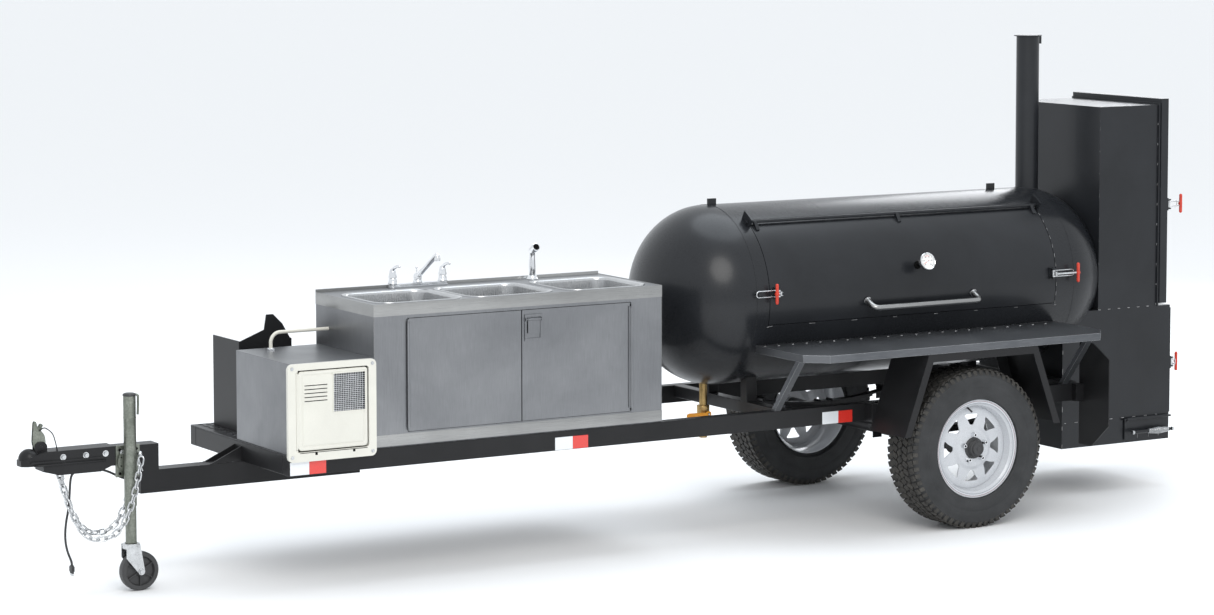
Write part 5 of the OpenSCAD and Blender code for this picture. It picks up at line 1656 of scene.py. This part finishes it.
class SMOKER_OT_sinks(bpy.types.Operator):
    """Press the three bowls with raised rims, round bottoms and drains"""
    bl_idname = "smoker.sinks"
    bl_label = "Sink Bowls"

    def execute(self, context):
        top = span("sink_cabinet")[1].z
        floor = span("sink_bowls")[0].z
        steel = finish_of("bowl_steel")
        bowls = Piece(steel)
        y = (-420, -70)
        skin = 1.6
        for x0, x1 in ((-2650, -2290), (-2240, -1880), (-1800, -1450)):
            x = (at(x0, 0, 0).x, at(x1, 0, 0).x)

            def ring(inset, z, corner):
                return [Vector((px, py, z)) for px, py in rounded((x[0] + inset, x[1] - inset),
                    (y[0] + inset, y[1] - inset), corner)]
            centre = Vector(((x[0] + x[1]) / 2, (y[0] + y[1]) / 2, 0))

            def hole(radius, z):
                return [Vector((px, py, z)) for px, py in rounded((centre.x - radius, centre.x + radius),
                    (centre.y - radius, centre.y + radius), radius * 0.999)]
            inner = [(-18, 1.2, 76), (-17, 3.4, 75), (-14, 4.2, 73), (-10, 3.4, 70), (-7, 2.0, 67),
                (-3, 1.8, 64), (0, 0.4, 60), (2.4, -3.5, 57), (3.2, -10, 56.5)]
            wall = [(5, 40, 55), (7, 24, 53), (11, 12, 50), (18, 5.5, 46), (28, 3.2, 40)]
            rings = [ring(a, top + z, c) for a, z, c in inner]
            rings += [ring(a, floor + z, c) for a, z, c in wall]
            rings += [hole(52, floor + 2.4), hole(45, floor + 1.2), hole(24, floor + 0.8)]
            under = [hole(24, floor), hole(45, floor), hole(52, floor + 0.9)]
            under += [ring(a - skin * (1 if z > 8 else 0.4), floor + (z - 1.5), c + skin) for a, z,
                c in wall[::-1]]
            under += [ring(1.4, top - 10, 58), ring(1, top - 3, 59), ring(-1, top + 0.2, 61),
                ring(-18, top + 0.2, 76)]
            bowls.use(steel).loft(rings + under, loop=True)
            bowls.use("chrome").lathe([(24, floor - 0.5), (43, floor + 1.4), (45, floor + 2.6),
                (40, floor + 3.0), (34, floor + 1.6), (24, floor - 0.2)], (centre.x, centre.y, 0), UP, 40,
                loop=True)
            # a black disc of painted shade below the strainer stands for the open drain
            bowls.use("gap_black").lathe([(0, floor - 4), (24, floor - 4), (24, floor - 1), (0, floor - 1)],
                (centre.x, centre.y, 0), UP, 30)
            bowls.use("chrome")
            for k in range(8):
                t = pi * k / 4
                spoke = Vector((cos(t), sin(t), 0))
                bowls.rod(centre + UP * (floor - 0.6), centre + UP * (floor - 0.6) + spoke * 24, 1.1, 6)
        bowls.done("sink_bowls_pressed", "trailer", ("sink_bowls",), sharp=50)
        return {"FINISHED"}


class SMOKER_OT_faucet(bpy.types.Operator):
    """Turn the faucet: deck plate, bells, curved levers, slanted spout and the side sprayer"""
    bl_idname = "smoker.faucet"
    bl_label = "Faucet and Sprayer"

    def execute(self, context):
        chrome = finish_of("chrome")
        top = span("sink_cabinet")[1].z
        y = 28
        mid = at(-2256, 0, 0).x
        base = Piece(chrome)
        for inset, z0, z1 in ((0, 0, 7), (3, 7, 12), (6, 12, 16)):
            base.prism(rounded((mid - (133 - inset), mid + (133 - inset)), (y - (21 - inset),
                y + (19.5 - inset)), (19 - inset)), "z", top + z0, top + z1)
        for x in (mid - 113, mid + 113):
            base.lathe([(7.05, 16), (20, 16), (20.5, 19), (18, 24), (16, 33), (15.6, 38), (14.6, 40),
                (7.05, 40)], (x, y, top), UP, 40, loop=True)
        base.lathe([(10.05, 16), (19, 16), (19.4, 20), (16.5, 26), (15.8, 30), (10.05, 30)], (mid, y, top),
            UP, 40, loop=True)
        spray = at(-1736, 10, 0)
        base.lathe([(11.1, 0), (24, 0), (24.3, 3), (21, 7), (18.5, 14), (17.5, 16), (11.1, 16)],
            (spray.x, spray.y, top), UP, 40, loop=True)
        base.done("faucet_deck_plate", "trailer", ("faucet_base",), 0.8)
        for node, x, dot in (("hot_tap", mid - 113, "latch_red"), ("cold_tap", mid + 113, "stripe_grey")):
            lever = Piece(chrome)
            lever.lathe([(0, 28), (7, 28), (7, 40.6), (15, 40.6), (17, 42), (17, 46), (14, 56), (13.4, 62),
                (12, 70), (9, 76), (4, 78.5), (0, 79)], (x, y, top), UP, 40)
            path = bent([(x, y, top + 68), (x, y - 18, top + 84), (x, y - 44, top + 92),
                (x, y - 60, top + 92)], 18, 8)
            count = len(path)
            lever.tube(path, [(7.5 - 2.6 * k / (count - 1)) for k in range(count)], 18)
            lever.sphere(path[-1], 5.4, 16)
            lever.use(finish_of(dot)).lathe([(0, 78.4), (3.4, 78.2), (2.6, 79.6), (0, 80)], (x, y, top), UP,
                20)
            lever.done(f"{node}_lever", body_of(node), (node,))
        spout = Piece(chrome)
        spout.rod((mid, y, top + 14), (mid, y, top + 34), 10)
        spout.lathe([(10, 30.6), (17, 30.6), (17, 44), (15, 50), (8, 54), (0, 55)], (mid, y, top), UP, 40)
        tip = Vector((mid, y - 170, top + 145))
        path = bent([(mid, y + 2, top + 40), (mid, y - 40, top + 64), tip, tip - UP * 24], 20, 8)
        count = len(path)
        spout.tube(path, [(11.5 - 2.0 * min(1, 2 * k / count)) for k in range(count)], 24)
        spout.lathe([(9, 0), (12, 1), (12.2, 12), (10.5, 14), (0, 13)], tip - UP * 12, -UP, 32)
        spout.rod((mid, y + 10, top + 44), (mid, y + 10, top + 74), 2.2, 12)
        spout.sphere((mid, y + 10, top + 76), 5, 16)
        spout.done("faucet_spout_bent", body_of("faucet_spout"), ("faucet_spout",))
        hose = Piece(chrome)
        hose.lathe([(0, 5), (11, 5), (11, 17), (12.5, 18), (14, 30), (13, 60), (11.6, 90), (12.4, 108),
            (14.5, 117), (12, 127), (0, 130)], (spray.x, spray.y, top), UP, 36)
        nozzle = Vector((spray.x, spray.y, top + 117))
        aim = Vector((0, -sin(radians(60)), cos(radians(60))))
        hose.lathe([(12, -6), (15, 0), (16.5, 14), (18, 34), (17.4, 39), (14, 40), (13, 37.5), (0, 37)],
            nozzle, aim, 36)
        hose.use("gap_black").lathe([(0, 37), (12.6, 37), (12.6, 38.6), (0, 38.8)], nozzle, aim, 30)
        hose.use(chrome).tube([nozzle + Vector((0, 12, -24)), nozzle + Vector((0, 17, -6)),
            nozzle + Vector((0, 12, 14))], 3, 10)
        hose.done("sprayer_head", body_of("sprayer"), ("sprayer",))
        return {"FINISHED"}


class SMOKER_OT_heater(bpy.types.Operator):
    """Finish the water heater: steel box, cream cover with screws, louvres and wire mesh"""
    bl_idname = "smoker.heater"
    bl_label = "Water Heater"

    def execute(self, context):
        cream = finish_of("cover_white")
        # dark is near-black painted shade, used below for the heater's gaps, slots and louvre openings
        dark = finish_of("gap_black")
        soft_nodes("heater_box", finish="stainless", width=1.0)

        def screws(piece):
            spots = [(at(x, -472.6, z), (0, -1, 0)) for x in (-3056, -2715) for z in (527, 868)]
            piece.add(bolts(spots, 5.5, 3, 7, "bright_zinc", sides=16))
            # the screw slots are black bars of painted shade, not cut recesses
            piece.use("ink_black")
            for spot, _ in spots:
                piece.box(spot + Vector((-4, -1.9, -0.6)), spot + Vector((4, -1.3, 0.6)))
            # a near-black line below the cover door and two small slots: painted shade in gaps that are not
            # cut
            piece.use(dark)
            piece.box(at(-3024, -472.4, 540.5), at(-2738, -471.9, 543))
            for x in (-2960, -2800):
                piece.box(at(x, -472.4, 531), at(x + 10, -471.9, 541))
        soft_nodes("heater_case", finish="cover_white", extra=screws, width=2.2)

        door = Piece(cream)
        x = (at(-3027, 0, 0).x, at(-2735, 0, 0).x)
        z = (550, 855)
        edge = -462
        rings = []
        for inset, depth, corner in ((0, 0, 12), (0, -5.6, 12), (1.6, -7.6, 11), (4, -8.4, 9),
                (12, -8.4, 7), (14, -6.6, 6), (17, -6.6, 5), (19, -8.4, 4.5), (24, -9.0, 4)):
            outline = rounded((x[0] + inset, x[1] - inset), (z[0] + inset, z[1] - inset), corner)
            rings.append([Vector((px, edge + depth, pz)) for px, pz in outline])
        door.loft(rings)
        face = edge - 9.0
        hinge = at(-3034, -466, 0)
        door.lathe([(3.05, 556), (5, 556), (5, 849), (3.05, 849)], (hinge.x, hinge.y, 0), UP, 20, loop=True)
        door.box(at(-3034, -469, 560), at(-3024, -464.5, 845))
        # each louvre opening is a near-black box of painted shade behind its cream slat
        for k in range(5):
            low = (738 + 15 * k)
            door.use(dark).box((at(-3003, 0, 0).x, face - 0.35, low), (at(-2907, 0, 0).x, face + 1, low + 6))
            door.use(cream).prism([(face + 0.5, low + 6), (face - 2.6, low + 3.8), (face - 2.6, low + 4.8),
                (face + 0.5, low + 8)], "x", at(-3004, 0, 0).x, at(-2906, 0, 0).x)
        left, right = at(-2880, 0, 0).x, at(-2747, 0, 0).x
        bottom, top = 692, 838
        door.use(cream)
        frame_w = 5
        door.box((left - frame_w, face - 1.6, bottom - frame_w), (right + frame_w, face, bottom))
        door.box((left - frame_w, face - 1.6, top), (right + frame_w, face, top + frame_w))
        door.box((left - frame_w, face - 1.6, bottom), (left, face, top))
        door.box((right, face - 1.6, bottom), (right + frame_w, face, top))
        # a black sheet of painted shade behind the wire mesh stands for the dark opening
        door.use("ink_black").box((left, face - 0.3, bottom), (right, face + 0.2, top))
        # a darker strip of painted shadow down the right side of the mesh opening
        door.use(dark).box((right - 26, face - 0.5, bottom), (right, face - 0.25, top))
        pitch = 7.4
        wire_look = finish_of("bright_zinc")
        across = int((right - left) / pitch)
        up = int((top - bottom) / pitch)
        door.add(bars((left + pitch / 2, face - 0.9, (bottom + top) / 2), (pitch, 0, 0),
            (1.7, 1.1, top - bottom), across, wire_look))
        door.add(bars(((left + right) / 2, face - 1.2, bottom + pitch / 2), (0, 0, pitch),
            (right - left, 1.1, 1.7), up, wire_look))
        door.done("heater_cover_panel", body_of("heater_door"), ("heater_door",), 0.5)

        def fittings(piece):
            piece.use("chrome").lathe([(7, 0), (14, 0), (14, 9), (7, 11)], at(-2950, -60, 886), UP, 6)
        soft_nodes("water_pipe", finish="pipe_white", extra=fittings, width=0.5)
        soft_nodes("gas_rack", finish="frame_paint", width=1.0)
        soft_nodes("water_tanks", finish="tank_plastic", width=12)
        return {"FINISHED"}


class SMOKER_OT_inner_parts(bpy.types.Operator):
    """Round the edges of every part that has not been finished yet: grates, racks, tanks and plates"""
    bl_idname = "smoker.inner_parts"
    bl_label = "Inner Parts"

    def execute(self, context):
        for node in frame["nodes"]:
            if node not in DRESSED:
                soft_nodes(node)
        return {"FINISHED"}


# ---- panel and start ----

PARTS = [SMOKER_OT_stage, SMOKER_OT_cable, SMOKER_OT_chassis, SMOKER_OT_coupler, SMOKER_OT_chains,
    SMOKER_OT_jack, SMOKER_OT_running_gear, SMOKER_OT_wheels, SMOKER_OT_tank, SMOKER_OT_door_furniture,
    SMOKER_OT_boxes, SMOKER_OT_cabinet, SMOKER_OT_sinks, SMOKER_OT_faucet, SMOKER_OT_heater,
    SMOKER_OT_inner_parts]


class SMOKER_PT_main(bpy.types.Panel):
    bl_label = "Trailer Smoker"
    bl_idname = "SMOKER_PT_main"
    bl_space_type = "VIEW_3D"
    bl_region_type = "UI"
    bl_category = "Smoker"

    def draw(self, context):
        layout = self.layout
        settings = context.scene.smoker
        for group, title in ((settings.stage, "Stage"), (settings.finish, "Finish"),
                (settings.metalwork, "Metalwork"), (settings.running, "Running gear"),
                (settings.tank, "Tank")):
            box = layout.box()
            box.label(text=title)
            for name in group.__annotations__:
                box.prop(group, name)
        column = layout.column(align=True)
        for part in PARTS:
            column.operator(part.bl_idname)


CLASSES = [StageSettings, FinishSettings, MetalworkSettings, RunningSettings, TankSettings, SmokerSettings,
    *PARTS, SMOKER_PT_main]


def register():
    for item in CLASSES:
        bpy.utils.register_class(item)
    bpy.types.Scene.smoker = PointerProperty(type=SmokerSettings)


def unregister():
    del bpy.types.Scene.smoker
    for item in reversed(CLASSES):
        bpy.utils.unregister_class(item)


def main():
    register()
    for part in PARTS:
        family, name = part.bl_idname.split(".")
        getattr(getattr(bpy.ops, family), name)()


if __name__ == "__main__":
    main()
